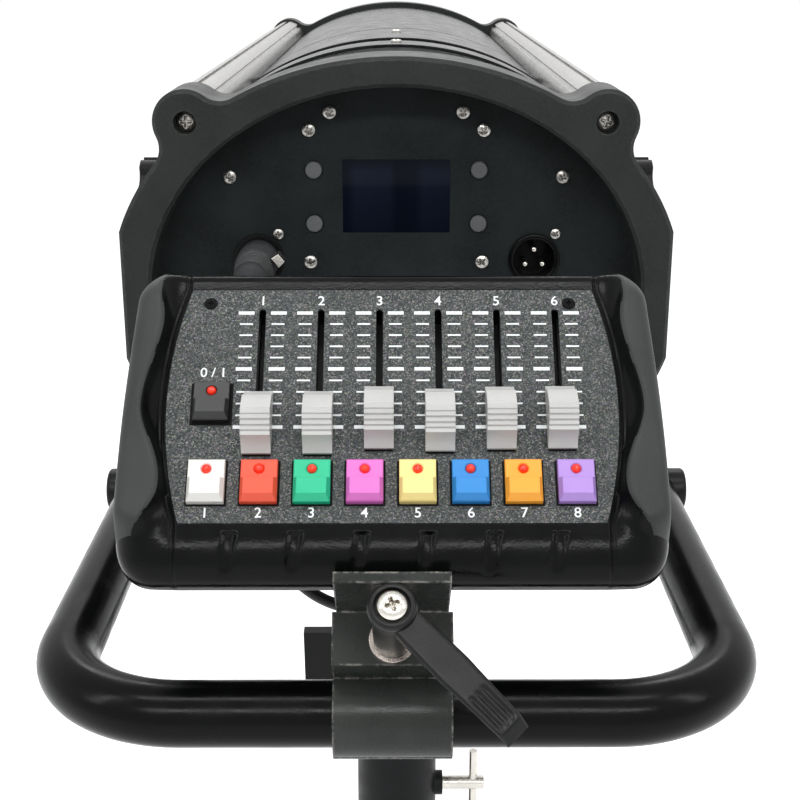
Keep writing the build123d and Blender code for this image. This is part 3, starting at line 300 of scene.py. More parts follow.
# ---- node graphs -----------------------------------------------------------
class Graph:
    """A material's node tree, with short calls for what every surface uses."""

    def __init__(self, name):
        self.material = bpy.data.materials.new(name)
        self.material.use_nodes = True
        self.tree = self.material.node_tree
        self.tree.nodes.clear()
        self.shader = self.add("ShaderNodeBsdfPrincipled")
        output = self.add("ShaderNodeOutputMaterial")
        self.tree.links.new(self.shader.outputs[0], output.inputs[0])
        self.place = self.add("ShaderNodeTexCoord").outputs["Object"]

    def add(self, kind, inputs=None, **settings):
        node = self.tree.nodes.new(kind)
        for key, value in settings.items():
            setattr(node, key, value)
        for key, value in (inputs or {}).items():
            self.put(node.inputs[key], value)
        return node

    def put(self, socket, value):
        if isinstance(value, bpy.types.NodeSocket):
            self.tree.links.new(value, socket)
        else:
            socket.default_value = value

    def set(self, **values):
        for key, value in values.items():
            self.put(self.shader.inputs[key.replace("_", " ")], value)

    def stretched(self, x, y, z):
        mapping = self.add("ShaderNodeMapping", {"Vector": self.place, "Scale": (x, y, z)})
        return mapping.outputs[0]

    def noise(self, size, detail=3.0, rough=0.5, place=None):
        """Noise whose grains are about size metres across."""
        values = {"Vector": place or self.place, "Scale": 1 / size, "Detail": detail,
                  "Roughness": rough}
        return self.add("ShaderNodeTexNoise", values).outputs["Fac"]

    def cells(self, size, place=None):
        values = {"Vector": place or self.place, "Scale": 1 / size}
        return self.add("ShaderNodeTexVoronoi", values).outputs["Distance"]

    def ramp(self, value, *stops):
        node = self.add("ShaderNodeValToRGB", {"Fac": value})
        points = node.color_ramp.elements
        while len(points) < len(stops):
            points.new(0.5)
        for point, (where, level) in zip(points, stops):
            point.position = where
            colour = level if hasattr(level, "__len__") else (level, level, level)
            point.color = (*colour[:3], 1)
        return node.outputs["Color"]

    def span(self, value, low, high, to_low, to_high):
        values = {"Value": value, "From Min": low, "From Max": high,
                  "To Min": to_low, "To Max": to_high}
        return self.add("ShaderNodeMapRange", values).outputs[0]

    def mix(self, amount, first, second, blend="MIX"):
        node = self.add("ShaderNodeMix", data_type="RGBA", blend_type=blend)
        self.put(node.inputs[0], amount)
        for index, colour in ((6, first), (7, second)):
            if isinstance(colour, tuple) and len(colour) == 3:
                colour = (*colour, 1)
            self.put(node.inputs[index], colour)
        return node.outputs[2]

    def math(self, operation, first, second=0.5):
        return self.add("ShaderNodeMath", {0: first, 1: second}, operation=operation).outputs[0]

    def rounded(self, radius):
        return self.add("ShaderNodeBevel", {"Radius": radius}, samples=4).outputs[0]

    def edges(self, radius):
        """About 1 on sharp edges and 0 on flat ground."""
        true_normal = self.add("ShaderNodeNewGeometry").outputs["Normal"]
        dot = self.add("ShaderNodeVectorMath", {0: self.rounded(radius), 1: true_normal},
                       operation="DOT_PRODUCT").outputs["Value"]
        return self.span(dot, 1.0, 0.86, 0.0, 1.0)

    def bump(self, height, depth, strength=1.0, under=None):
        values = {"Height": height, "Distance": depth, "Strength": strength}
        if under is not None:
            values["Normal"] = under
        return self.add("ShaderNodeBump", values).outputs[0]


def times(colour, factor):
    return tuple(min(1.0, c * factor) for c in colour)


def coat(name, colour, rough=0.5, grain=0.0011, depth=0.00012, edge=0.0006, worn=0.0,
         worn_colour=(0.32, 0.32, 0.31), tint=0.25, specular=0.5):
    """Painted or moulded surface: fine grain, cloudy colour, rounded and slightly worn edges."""
    g = Graph(name)
    cloud = g.noise(0.03, 4.0)
    fleck = g.noise(grain * 1.4, 2.0, 0.6)
    base = g.mix(g.span(cloud, 0.35, 0.65, 0, 1), times(colour, 1 - tint), times(colour, 1 + tint))
    base = g.mix(g.span(fleck, 0.3, 0.75, 0, 0.55), base, times(colour, 1 + 2 * tint))
    roughness = g.span(g.noise(0.012, 5.0), 0.3, 0.7, rough - 0.07, rough + 0.07)
    ground = g.rounded(edge)
    if worn:
        patches = g.span(g.noise(0.004, 5.0, 0.7), 0.45, 0.6, 0, worn)
        rub = g.math("MULTIPLY", g.edges(edge * 1.6), patches)
        base = g.mix(rub, base, worn_colour)
        roughness = g.math("SUBTRACT", roughness, g.math("MULTIPLY", rub, 0.15))
    height = g.math("ADD", g.noise(grain, 2.0, 0.6), g.math("MULTIPLY", g.cells(grain * 2), 0.4))
    g.set(Base_Color=base, Roughness=roughness, Normal=g.bump(height, depth, 1.0, ground),
          Specular_IOR_Level=specular)
    return g.material


def metal(name, colour, rough=0.3, brush=(1, 1, 1), grain=0.0006, depth=0.00003, edge=0.0004,
          dirt=0.3):
    """Bare or anodised metal with brushed grain, smudges and soft edges."""
    g = Graph(name)
    lines = g.noise(grain, 3.0, 0.6, g.stretched(*brush))
    smudge = g.noise(0.02, 5.0, 0.6)
    base = g.mix(g.span(smudge, 0.4, 0.75, 0, dirt), colour, times(colour, 0.45))
    base = g.mix(g.span(lines, 0.3, 0.7, 0, 0.35), base, times(colour, 1.25))
    roughness = g.math("ADD", g.span(smudge, 0.3, 0.7, rough - 0.06, rough + 0.1),
                       g.span(lines, 0.3, 0.7, -0.04, 0.05))
    g.set(Base_Color=base, Metallic=1.0, Roughness=roughness,
          Normal=g.bump(lines, depth, 0.8, g.rounded(edge)))
    return g.material


# ---- finishes ----------------------------------------------------------------
def speckled(name, colour, size, rough):
    """Matt film with fine light, dark and faintly coloured grains."""
    g = Graph(name)
    grains = g.add("ShaderNodeTexVoronoi", {"Vector": g.place, "Scale": 1 / size}).outputs["Color"]
    grey = g.add("ShaderNodeSeparateColor", {0: grains}).outputs[0]
    level = g.ramp(grey, (0.0, times(colour, 0.25)), (0.55, times(colour, 0.9)),
                   (0.85, times(colour, 1.7)), (1.0, times(colour, 3.6)))
    tinted = g.mix(0.32, level, g.mix(1.0, level, grains, "MULTIPLY"))
    cloud = g.span(g.noise(0.02, 4.0), 0.3, 0.7, 0.0, 0.3)
    g.set(Base_Color=g.mix(cloud, tinted, times(colour, 0.7)),
          Roughness=g.span(grey, 0.0, 1.0, rough + 0.1, rough - 0.1),
          Normal=g.bump(grey, 0.00005, 0.7, g.rounded(0.0003)), Specular_IOR_Level=0.2)
    return g.material


def gloss_abs(name, colour, rough, grain, depth, specular):
    """Moulded plastic with a fine pebble grain that shows in its highlights."""
    g = Graph(name)
    pebble = g.math("ADD", g.cells(grain), g.math("MULTIPLY", g.noise(grain * 2.5, 3.0), 0.7))
    g.set(Base_Color=g.mix(g.span(g.noise(0.02, 4.0), 0.3, 0.7, 0, 1), times(colour, 0.8),
                           times(colour, 1.25)),
          Roughness=g.span(g.noise(0.01, 5.0), 0.3, 0.7, rough - 0.05, rough + 0.07),
          Normal=g.bump(pebble, depth, 0.8, g.rounded(0.0006)), Specular_IOR_Level=specular)
    return g.material


def key_plastic(name, colour):
    """Moulded key: satin, with painted shade on its bevels, a faint mould grain and dust."""
    g = Graph(name)
    # painted shade: the key's colour turns deeper and darker on its bevelled edges
    bevel_shade_mask = g.edges(0.0009)
    face = g.mix(g.span(g.noise(0.004, 4.0), 0.3, 0.7, 0, 0.25), colour, times(colour, 0.9))
    painted_shade_colour = tuple(c * c ** 0.25 * 0.85 for c in colour)
    g.set(Base_Color=g.mix(g.math("MULTIPLY", bevel_shade_mask, 0.55), face, painted_shade_colour),
          Roughness=g.span(g.noise(0.003, 4.0), 0.3, 0.7, 0.3, 0.42),
          Normal=g.bump(g.noise(0.0004, 3.0), 0.00001, 0.6, g.rounded(0.0003)),
          Specular_IOR_Level=0.5)
    return g.material


def glowing(name, colour, strength):
    """Small lit plastic dome."""
    g = Graph(name)
    spot = g.span(g.noise(0.0012, 3.0), 0.3, 0.7, 0.7, 1.1)
    g.set(Base_Color=g.mix(spot, times(colour, 0.4), colour),
          Roughness=g.span(spot, 0.7, 1.1, 0.12, 0.2), Emission_Color=(*colour, 1),
          Emission_Strength=g.math("MULTIPLY", spot, strength), Normal=g.rounded(0.0002))
    return g.material


def lcd(name):
    """Dark blue window with a painted reflection given off as emission: faint lighter pane shapes and a light
    strip near its lower edge.
    """
    g = Graph(name)
    low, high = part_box("display")
    parts = g.add("ShaderNodeSeparateXYZ", {0: g.place})
    along = g.span(parts.outputs["X"], low[0], high[0], 0.0, 1.0)
    up = g.span(parts.outputs["Z"], low[2], high[2], 0.0, 1.0)
    # painted reflection: lighter pane shapes across the window, fading towards its top and lower edge
    reflected_panes = g.ramp(along, (0.0, 0.25), (0.14, 0.3), (0.2, 1.0), (0.45, 0.8), (0.5, 0.22),
                   (0.64, 0.3), (0.7, 0.85), (0.93, 0.6), (1.0, 0.2))
    fade = g.ramp(up, (0.0, 0.15), (0.09, 0.3), (0.3, 0.55), (0.75, 1.0), (0.85, 0.3),
                  (1.0, 0.15))
    lit = g.math("MULTIPLY", reflected_panes, fade)
    # painted reflection: a thin light strip near the window's lower edge
    reflected_sliver = g.ramp(up, (0.0, 0.0), (0.05, 0.0), (0.075, 1.0), (0.11, 0.0))
    painted_reflection = g.mix(lit, (0.0004, 0.0006, 0.0016), (0.006, 0.008, 0.016))
    painted_reflection = g.mix(g.math("MULTIPLY", reflected_sliver, g.span(along, 0.05, 0.6, 0.0, 0.7)), painted_reflection,
                 (0.5, 0.55, 0.6))
    g.set(Base_Color=(0.002, 0.003, 0.006, 1), Roughness=0.08, Emission_Color=painted_reflection,
          Emission_Strength=1.0, Normal=g.bump(g.noise(0.02, 2.0), 0.00002, 0.4),
          Specular_IOR_Level=0.06)
    return g.material


FRAME_COAT = coat("frame_coat", (0.018, 0.0205, 0.0185), 0.40, 0.0010, 0.00018, worn=0.2,
                  specular=0.15)
YOKE_COAT = coat("yoke_coat", (0.007, 0.0075, 0.008), 0.42, 0.0009, 0.0001, worn=0.2,
                 specular=0.14)
COVER_COAT = coat("cover_coat", (0.009, 0.0095, 0.010), 0.26, 0.0007, 0.00004, tint=0.2,
                  specular=0.24)
PANEL_COAT = coat("panel_coat", (0.0125, 0.0150, 0.0152), 0.60, 0.0008, 0.00012, tint=0.35,
                  specular=0.10)
OVERLAY = speckled("overlay_film", (0.078, 0.087, 0.085), 0.00045, 0.52)
WING_ABS = coat("wing_abs", (0.028, 0.031, 0.029), 0.46, 0.0006, 0.00006, edge=0.0009, tint=0.15,
                specular=0.22)
ABS = gloss_abs("housing_abs", (0.0026, 0.0028, 0.0028), 0.20, 0.0009, 0.00004, 0.10)
BASE_ABS = gloss_abs("base_abs", (0.0026, 0.0027, 0.0028), 0.40, 0.0009, 0.00004, 0.02)
KNOB_ABS = coat("knob_abs", (0.005, 0.0052, 0.0055), 0.34, 0.0006, 0.00005, edge=0.0006, tint=0.2,
                specular=0.16)
LEVER_ABS = coat("lever_nylon", (0.0050, 0.0055, 0.0050), 0.34, 0.0005, 0.00004, edge=0.0007,
                 tint=0.2, worn=0.1, specular=0.22)
CAP_ABS = coat("cap_abs", (0.46, 0.455, 0.44), 0.36, 0.0004, 0.00002, edge=0.00025, tint=0.05)
TUBE_COAT = coat("tube_coat", (0.0020, 0.0021, 0.0022), 0.22, 0.0009, 0.00003, tint=0.3,
                 specular=0.10)
CLAMP_BLACK = coat("clamp_black", (0.025, 0.028, 0.025), 0.26, 0.0006, 0.00005, edge=0.0009,
                   worn=0.7, worn_colour=(0.55, 0.52, 0.47), tint=0.3, specular=0.18)
SCREW_METAL = metal("screw_nickel", (0.40, 0.385, 0.36), 0.26, dirt=0.7)
BRIGHT_METAL = metal("bright_nickel", (0.68, 0.655, 0.60), 0.22, dirt=0.4)
WASHER_METAL = metal("worn_nickel", (0.62, 0.55, 0.50), 0.22, dirt=0.9)
STEEL = metal("steel", (0.42, 0.42, 0.41), 0.36, (1, 12, 1))
ALLOY = metal("alloy", (0.58, 0.59, 0.60), 0.38, (1, 14, 1))
RAIL_METAL = metal("rail_anodised", (0.38, 0.375, 0.365), 0.28, (1, 40, 1), dirt=0.3)
DARK_ALLOY = metal("dark_anodised", (0.045, 0.046, 0.048), 0.36, (1, 10, 1))
RUBBER = coat("lead_rubber", (0.008, 0.008, 0.0085), 0.42, 0.0005, 0.00003, tint=0.3,
              specular=0.35)
BOOT = coat("boot_rubber", (0.03, 0.031, 0.032), 0.5, 0.0004, 0.00003, tint=0.3,
            specular=0.35)


BOARD_DEPTH = 0.0152        # the board's upper face, under the panel, in metres


def board(name):
    """Green solder mask; the tracks and switches that stand on it are black."""
    g = Graph(name)
    up = g.add("ShaderNodeVectorMath", {0: g.place, 1: tuple(OUT_PANEL)}, operation="DOT_PRODUCT")
    board_top = FADER_TOP.dot(OUT_PANEL) - BOARD_DEPTH
    above = g.span(up.outputs["Value"], board_top - 0.0001, board_top + 0.0001, 0.0, 1.0)
    mask = g.mix(g.span(g.noise(0.004, 3.0), 0.4, 0.6, 0, 1), (0.012, 0.07, 0.035),
                 (0.02, 0.10, 0.05))
    g.set(Base_Color=g.mix(above, mask, (0.004, 0.004, 0.0042)),
          Roughness=g.span(above, 0, 1, 0.35, 0.6),
          Normal=g.bump(g.noise(0.0008, 3.0), 0.00003, 0.6))
    return g.material


BOARD = board("board_green")
# black of the overlay screws, also used as painted shade round the keys and under the fader caps
BLACK_AND_PAINTED_SHADE = coat("black_well", (0.003, 0.003, 0.003), 0.6, tint=0.2, specular=0.1)
WHITE_INK = coat("white_ink", (0.80, 0.82, 0.82), 0.5, 0.0003, 0.00001, edge=0.0001, tint=0.04)
MENU_GREY = coat("menu_grey", (0.10, 0.105, 0.105), 0.5, 0.0005, 0.00003, specular=0.3)
RED_LIGHT = glowing("red_light", (0.85, 0.03, 0.01), 0.35)
LCD = lcd("lcd_window")
SLOTS = {m["slot"]: tuple(m["base_color"]) for m in frame["record"]["materials"]}
GLASS = Graph("coated_glass")
GLASS.set(Base_Color=(0.82, 0.88, 0.93, 1), IOR=1.52, Transmission_Weight=1.0,
          Roughness=GLASS.span(GLASS.noise(0.015, 4.0), 0.3, 0.7, 0.0, 0.05),
          Normal=GLASS.bump(GLASS.noise(0.03, 2.0), 0.00002, 0.3))
GLASS = GLASS.material

CARRIED = {
    "rear_frame": FRAME_COAT, "front_frame": FRAME_COAT, "top_slats": COVER_COAT,
    "top_cover": COVER_COAT, "lower_cover": COVER_COAT, "lens_tube": COVER_COAT,
    "rear_panel": PANEL_COAT, "corner_rails": RAIL_METAL, "yoke": YOKE_COAT,
    "stand_socket": YOKE_COAT, "side_brackets": FRAME_COAT, "handle_tube": TUBE_COAT,
    "handle_bolts": KNOB_ABS, "tilt_knob_left": KNOB_ABS, "tilt_knob_right": KNOB_ABS,
    "pan_lever": KNOB_ABS, "t_bolt": BRIGHT_METAL, "console_base": BASE_ABS,
    "console_panel": OVERLAY, "console_bracket": CLAMP_BLACK, "clamp_jaw": CLAMP_BLACK,
    "clamp_stud": WASHER_METAL, "display": KNOB_ABS, "heat_sink": ALLOY, "led_module": ALLOY,
    "fan_frame": BASE_ABS, "fan_rotor": BASE_ABS, "optics_frame": ALLOY, "driver_box": STEEL,
    "iris_ring": DARK_ALLOY, "circuit_board": BOARD,
}
for node, finish in CARRIED.items():
    NODES[node].data.materials.clear()
    NODES[node].data.materials.append(finish)


def swap(node, rules):
    """Give each of a node's CAD finishes a detailed one, by the colour slot's name."""
    materials = NODES[node].data.materials
    for index, old in enumerate(materials):
        name = old.name if old else ""
        for part, finish in rules:
            if part in name:
                materials[index] = finish
                break
        else:
            materials[index] = rules[-1][1]


for node in ("focus_carriage", "zoom_carriage"):
    swap(node, [("optical", GLASS), ("glass", GLASS), ("", DARK_ALLOY)])
swap("front_lens", [("", GLASS)])
swap("color_wheel", [("filter", GLASS), ("glass", GLASS), ("", ALLOY)])
swap("rear_connectors", [(part, BRIGHT_METAL) for part in ("screw", "nickel", "steel", "gold")]
     + [("", KNOB_ABS)])
for i in range(1, 5):
    swap(f"menu_button_{i}", [("", MENU_GREY)])

# ---- console housing: wings, channels, lip -------------------------------------
TOP_LOW, TOP_HIGH = console_box("console_top")
END_V, LIP_V = TOP_HIGH[1], TOP_LOW[1]
OUTER = ((END_V, 95.4), ((END_V + LIP_V) / 2, 98.5), (LIP_V, 98.6))
WING_EDGE = ((20, 86.0), (6.5, 86.6), (-3, 85.2), (-9.8, 85.4), (-20, 87.4), (-33.8, 90.3),
             (-42.7, 90.7), (-49, 89.2), (-57, 86.0), (-64.3, 83.6), (-70.4, 82.8), (-76.1, 83.6),
             (-83.6, 87.6), (-88.8, 91.0), (-95, 93.2), (-106, 95.0))
PANEL_LOW, PANEL_HIGH = console_box("console_panel")
PANEL_END, PANEL_MIDDLE = 76.0, 83.0        # half widths of the overlay
PANEL_GAP = 0.15                            # from the overlay's edge to the housing
CORNER = 14.0                               # radius of the housing's corners, seen from above
WING_RISE = 6.4                             # wing over the channel beside the overlay
GRIPS, GRIP_PITCH, GRIP_LEAN = 6, 23.4, math.radians(8)
GRIP_HALF, GRIP_DEPTH = 2.3, 1.7


def through(points, value):
    """Smooth curve through points of falling first number (Catmull-Rom)."""
    n = len(points)
    i = next((k for k in range(n - 1) if points[k + 1][0] <= value), n - 2)
    (a, ya), (b, yb) = points[i], points[i + 1]
    t = min(1.0, max(0.0, (a - value) / (a - b)))
    before, after = points[max(i - 1, 0)], points[min(i + 2, n - 1)]
    ma = (yb - before[1]) / (b - before[0]) * (b - a) if b != before[0] else 0
    mb = (after[1] - ya) / (after[0] - a) * (b - a) if after[0] != a else 0
    return ((2 * t**3 - 3 * t**2 + 1) * ya + (t**3 - 2 * t**2 + t) * ma
            + (-2 * t**3 + 3 * t**2) * yb + (t**3 - t**2) * mb)


def bowed(v, top, low, end, mid):
    """Half width of an outline whose side is an arc."""
    middle, half, sag = (top + low) / 2, (top - low) / 2, mid - end
    radius = (half * half + sag * sag) / (2 * sag)
    return mid - radius + math.sqrt(max(radius * radius - (v - middle) ** 2, 0))


def panel_half(v):
    v = min(max(v, PANEL_LOW[1]), PANEL_HIGH[1])
    return bowed(v, PANEL_HIGH[1], PANEL_LOW[1], PANEL_END, PANEL_MIDDLE) + PANEL_GAP


def outer_half(v):
    half = through(OUTER, v)
    away = min(END_V - v, v - LIP_V)
    if away < CORNER:
        half -= CORNER - math.sqrt(max(CORNER**2 - (CORNER - away) ** 2, 0))
    return half


def from_edge(x, v):
    """Distance from the housing's outline, seen from above."""
    half = through(OUTER, v)
    side, end = half - abs(x), min(END_V - v, v - LIP_V)
    if side < CORNER and end < CORNER:
        return CORNER - math.hypot(CORNER - side, CORNER - end)
    return min(side, end)


def top_height(x, v):
    """Height of the housing's upper face over the panel's plane, in millimetres."""
    far = abs(x)
    panel, wing = panel_half(v), through(WING_EDGE, v)
    out = through(OUTER, v)
    level = 0.0
    ends = smooth(v, -97, -84) * (1 - 0.55 * smooth(v, 3, 17))
    if far > panel:
        away = far - panel
        t = min(1.0, away / max(wing - panel, 0.1))
        level = -0.7 * math.exp(-((away - 1.0) / 0.42) ** 2)
        level -= 0.5 * math.exp(-((away - 2.2) / 0.35) ** 2)
        level += ends * WING_RISE * t**2.1
        if far > wing:
            crest = 0.9 * smooth(far - wing, 0, 1.3) - 1.5 * smooth(far, wing + 1, out)
            level += ends * crest
    for i in range(GRIPS):
        middle = (i - (GRIPS - 1) / 2) * GRIP_PITCH + math.tan(GRIP_LEAN) * (v + 96)
        along = smooth(v, -104, -97) * (1 - smooth(v, -88.6, -87.6))
        level -= GRIP_DEPTH * along * math.exp(-((x - middle) / GRIP_HALF) ** 4)
    front = smooth(-v, 80, 90)
    reach, fall = 5.0 + 11.2 * front, 5.0 + 7.6 * front
    edge = max(from_edge(x, v), 0.0)
    if edge < reach:
        level -= fall * (1 - math.sqrt(max(1 - (1 - edge / reach) ** 2, 0)))
    return level


def spread(a, b, count):
    """Even steps from a, without b."""
    return [a + (b - a) * k / count for k in range(count)]


ends = [CORNER * (1 - math.cos(math.pi / 2 * k / 12)) for k in range(12)]
rows_v = ([END_V - e for e in ends] + spread(END_V - CORNER, LIP_V + CORNER + 4.0, 56)
          + [LIP_V + e for e in spread(CORNER + 4.0, CORNER, 9)]
          + [LIP_V + e for e in spread(CORNER, 6.0, 16)]
          + [LIP_V + 6.0 * (1 - math.sin(math.pi / 2 * k / 14)) for k in range(15)])


def row_nearest(v):
    return min(range(len(rows_v)), key=lambda k: abs(rows_v[k] - v))


PANEL_ENDS = (PANEL_HIGH[1] + PANEL_GAP, PANEL_LOW[1] - PANEL_GAP)
for level in PANEL_ENDS:
    rows_v[row_nearest(level)] = level
TOP_ROW, LOW_ROW = (row_nearest(level) for level in PANEL_ENDS)
SIDE_STEPS = (0.0, 0.15, 0.5, 1.1, 2.0, 3.2, 4.6)


def half_row(v):
    """Distances from the middle, from the outline inwards to the panel's edge."""
    out, wing, panel = outer_half(v), through(WING_EDGE, v), panel_half(v)
    wing = min(wing, out - 7.4)
    panel = min(panel, wing - 1.5)
    line = [out - s for s in SIDE_STEPS]
    line += spread(out - 5.4, wing + 1.4, 4)
    line += [wing + 1.4, wing + 0.9, wing + 0.4, wing, wing - 0.3]
    close = 3.0 if wing - panel > 4 else 1.2
    line += spread(wing - 0.6, panel + close, 6)
    return line + [panel + close * k / 9 for k in range(9, -1, -1)]


MIDDLE = 190                # steps across, between the overlay's edges
bm = bmesh.new()
rows = []
for v in rows_v:
    half = half_row(v)
    inner = half[-1]
    across = [-h for h in half] + [-inner + 2 * inner * k / MIDDLE for k in range(1, MIDDLE)]
    across += reversed(half)
    rows.append([(x, v, top_height(x, v)) for x in across])
COLUMNS = len(rows[0])
SIDE = len(half_row(0.0)) - 1


def in_skin(i, j):
    """False over the overlay, which lies in the housing's opening."""
    return not (TOP_ROW <= i < LOW_ROW and SIDE <= j < COLUMNS - SIDE - 1)


made = grid(bm, rows, mask=in_skin)
for face in bm.faces:
    middle = face.calc_center_median()
    if abs(middle.x) > through(WING_EDGE, middle.y) + 0.2 and middle.y > -90:
        face.material_index = 1
rim = made[0] + [row[-1] for row in made[1:]]
rim += made[-1][-2::-1] + [row[0] for row in made[-2:0:-1]]
wall(bm, rim, [bm.verts.new((p.co.x, p.co.y, TOP_LOW[2])) for p in rim])
well = [(i, SIDE) for i in range(TOP_ROW, LOW_ROW + 1)]
well += [(LOW_ROW, j) for j in range(SIDE + 1, COLUMNS - SIDE)]
well += [(i, COLUMNS - SIDE - 1) for i in range(LOW_ROW - 1, TOP_ROW - 1, -1)]
well += [(TOP_ROW, j) for j in range(COLUMNS - SIDE - 2, SIDE, -1)]
edge = [made[i][j] for i, j in well]
wall(bm, edge, [bm.verts.new((p.co.x * 0.995, p.co.y, -2.4)) for p in edge])
housing = solid("console_housing", bm, "console", [ABS, WING_ABS], CONSOLE,
                sharp=0.9)
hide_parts("console_top")

# ---- fader caps ------------------------------------------------------------------
HALF_CAP = ((-12.4, 0.8), (-12.4, 1.9), (-11.5, 2.5), (-10.3, 3.6), (-9.2, 5.2), (-8.4, 7.0),
            (-8.0, 8.3), (-6.6, 8.6), (-6.3, 9.3), (-4.9, 9.5), (-4.6, 10.3), (-3.1, 10.5),
            (-2.8, 11.3), (-1.3, 11.5), (-1.0, 12.0))
CAP_SIDE = list(HALF_CAP) + [(-v, n) for v, n in reversed(HALF_CAP)]
for i in range(1, 7):
    low, high = console_box(f"fader_cap_{i}")
    middle = (low + high) / 2
    bm = bmesh.new()
    prism(bm, CAP_SIDE, low[0] - middle[0], high[0] - middle[0], axis=0)
    tapered(bm, (-0.8, 0.8, -2, 2, low[2]), (-0.8, 0.8, -2, 2, 1.5))
    cap = solid(f"cap_{i}", bm, f"fader_cap_{i}", CAP_ABS,
                CONSOLE @ Matrix.Translation((middle[0], middle[1], 0)), sharp=0.5, bevel=0.22)
    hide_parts(f"fader_cap_{i}")

# ---- keys and their lights ---------------------------------------------------------
KEY_SLOTS = ("white", "red", "green", "pink", "yellow", "blue", "orange", "violet")
KEYS = [(f"color_key_{i + 1}", f"key_{c}") for i, c in enumerate(KEY_SLOTS)]
KEYS.append(("lamp_key", "key_black"))
KEY_BLACK = (0.012, 0.0125, 0.013)
KEY_EDGE = 0.25                         # chamfer round a key's body
LIGHT_IN, STRIP = 3.6, 7.2              # light's centre and pad's edge, from the key's upper end
STRIP_N = 2.8                           # height of the strip round the light
HOLE_R, FLARE_R, HOLE_STEPS = 1.75, 2.15, 32
DOME_R, DOME_FOOT, DOME_RISE = 1.66, 2.5, 1.6


def to_strip(point, light, reach, up, down):
    """Where the ray from the light through a point meets the strip's rectangle."""
    dx, dy = point[0] - light[0], point[1] - light[1]
    across = reach / abs(dx) if abs(dx) > 1e-9 else 1e9
    along = (up if dy > 0 else down) / abs(dy) if abs(dy) > 1e-9 else 1e9
    scale = min(across, along)
    return light[0] + dx * scale, light[1] + dy * scale


for node, slot in KEYS:
    low, high = console_box(node)
    finish = key_plastic(f"{node}_plastic", KEY_BLACK if slot == "key_black" else SLOTS[slot])
    x0, x1, v0, v1 = low[0], high[0], low[1], high[1]
    in_x0, in_x1, in_v0, in_v1 = x0 + KEY_EDGE, x1 - KEY_EDGE, v0 + KEY_EDGE, v1 - KEY_EDGE
    light = ((x0 + x1) / 2, v1 - LIGHT_IN)
    split = v1 - STRIP
    hole, flare = (circle(r, HOLE_STEPS, *light) for r in (HOLE_R, FLARE_R))
    rim = [to_strip(p, light, in_x1 - light[0], in_v1 - light[1], light[1] - split)
           for p in flare]
    for cx, cv in ((in_x1, in_v1), (in_x0, in_v1), (in_x0, split), (in_x1, split)):
        nearest = min(range(HOLE_STEPS),
                      key=lambda k: (rim[k][0] - cx) ** 2 + (rim[k][1] - cv) ** 2)
        rim[nearest] = (cx, cv)
    bm = bmesh.new()
    grid(bm, [at_height(hole, -1.0), at_height(hole, STRIP_N - 0.35), at_height(flare, STRIP_N),
              at_height(rim, STRIP_N)], closed=True)
    skin = [(in_x0, split), (in_x1, split), (in_x1, in_v0), (in_x0, in_v0)]
    bm.faces.new([bm.verts.new(p) for p in at_height(skin, STRIP_N)])
    body = rectangle(x0, x1, v0, v1)
    grid(bm, [at_height(rectangle(in_x0, in_x1, in_v0, in_v1), STRIP_N),
              at_height(body, STRIP_N - KEY_EDGE), at_height(body, low[2])], closed=True)
    tapered(bm, (x0 + 0.15, x1 - 0.15, v0 + 0.15, split, STRIP_N),
            (x0 + 1.2, x1 - 1.2, v0 + 2.3, split - 0.5, high[2]), bottom=False)
    key = solid(f"{node}_cap", bm, node, finish, CONSOLE, sharp=0.35)
    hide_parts(node)
    bm = bmesh.new()
    crown = [(DOME_R * math.cos(a), DOME_FOOT + DOME_RISE * math.sin(a))
             for a in (math.pi / 2 * k / 10 for k in range(10))]
    turned(bm, [(DOME_R, -2.0)] + crown + [(0.02, DOME_FOOT + DOME_RISE)], 24)
    solid(f"{node}_light", bm, "console", RED_LIGHT,
          CONSOLE @ Matrix.Translation((*light, 0)), sharp=0.9)

# ---- printed marks, and painted shade round the keys and under the fader caps --------
INK_N = 0.06                            # height of the marks over the overlay
LONG_TICK, SHORT_TICK = (6.0, 0.7, 3.1), (4.9, 0.33, 3.5)       # length, half width, start
TICK_PITCH = 4.75
slot_x = []
for i in range(1, 7):
    low, high = console_box(f"fader_cap_{i}")
    slot_x.append((low[0] + high[0]) / 2)
bm = bmesh.new()
for x in slot_x:
    for tick in range(11):
        length, half, start = LONG_TICK if tick % 5 == 0 else SHORT_TICK
        v = -TICK_PITCH * tick
        for side in (-1, 1):
            a, b = sorted((x + side * start, x + side * (start + length)))
            flat_bar(bm, a, b, v - half, v + half, 0.01, INK_N)
solid("scale_marks", bm, "console", WHITE_INK, CONSOLE)


def numeral(name, text, x, v, size):
    letters = bpy.data.curves.new(name, "FONT")
    letters.body = text
    letters.size = size
    letters.align_x, letters.align_y = "CENTER", "CENTER"
    letters.offset = 0.05
    letters.extrude = 0.03
    mesh = meshed(bpy.data.objects.new(name, letters))
    mesh.transform(CONSOLE @ Matrix.Translation((x, v, 0.04)))
    mesh.materials.clear()
    mesh.materials.append(WHITE_INK)
    new_piece(name, mesh, "console")


for i, x in enumerate(slot_x, 1):
    numeral(f"fader_numeral_{i}", str(i), x, 5.1, 5.6)
for i in range(1, 9):
    low, high = console_box(f"color_key_{i}")
    numeral(f"key_numeral_{i}", str(i), (low[0] + high[0]) / 2, -81.0, 5.4)
low, high = console_box("lamp_key")
numeral("lamp_numeral", "0 / 1", (low[0] + high[0]) / 2, -25.4, 5.4)

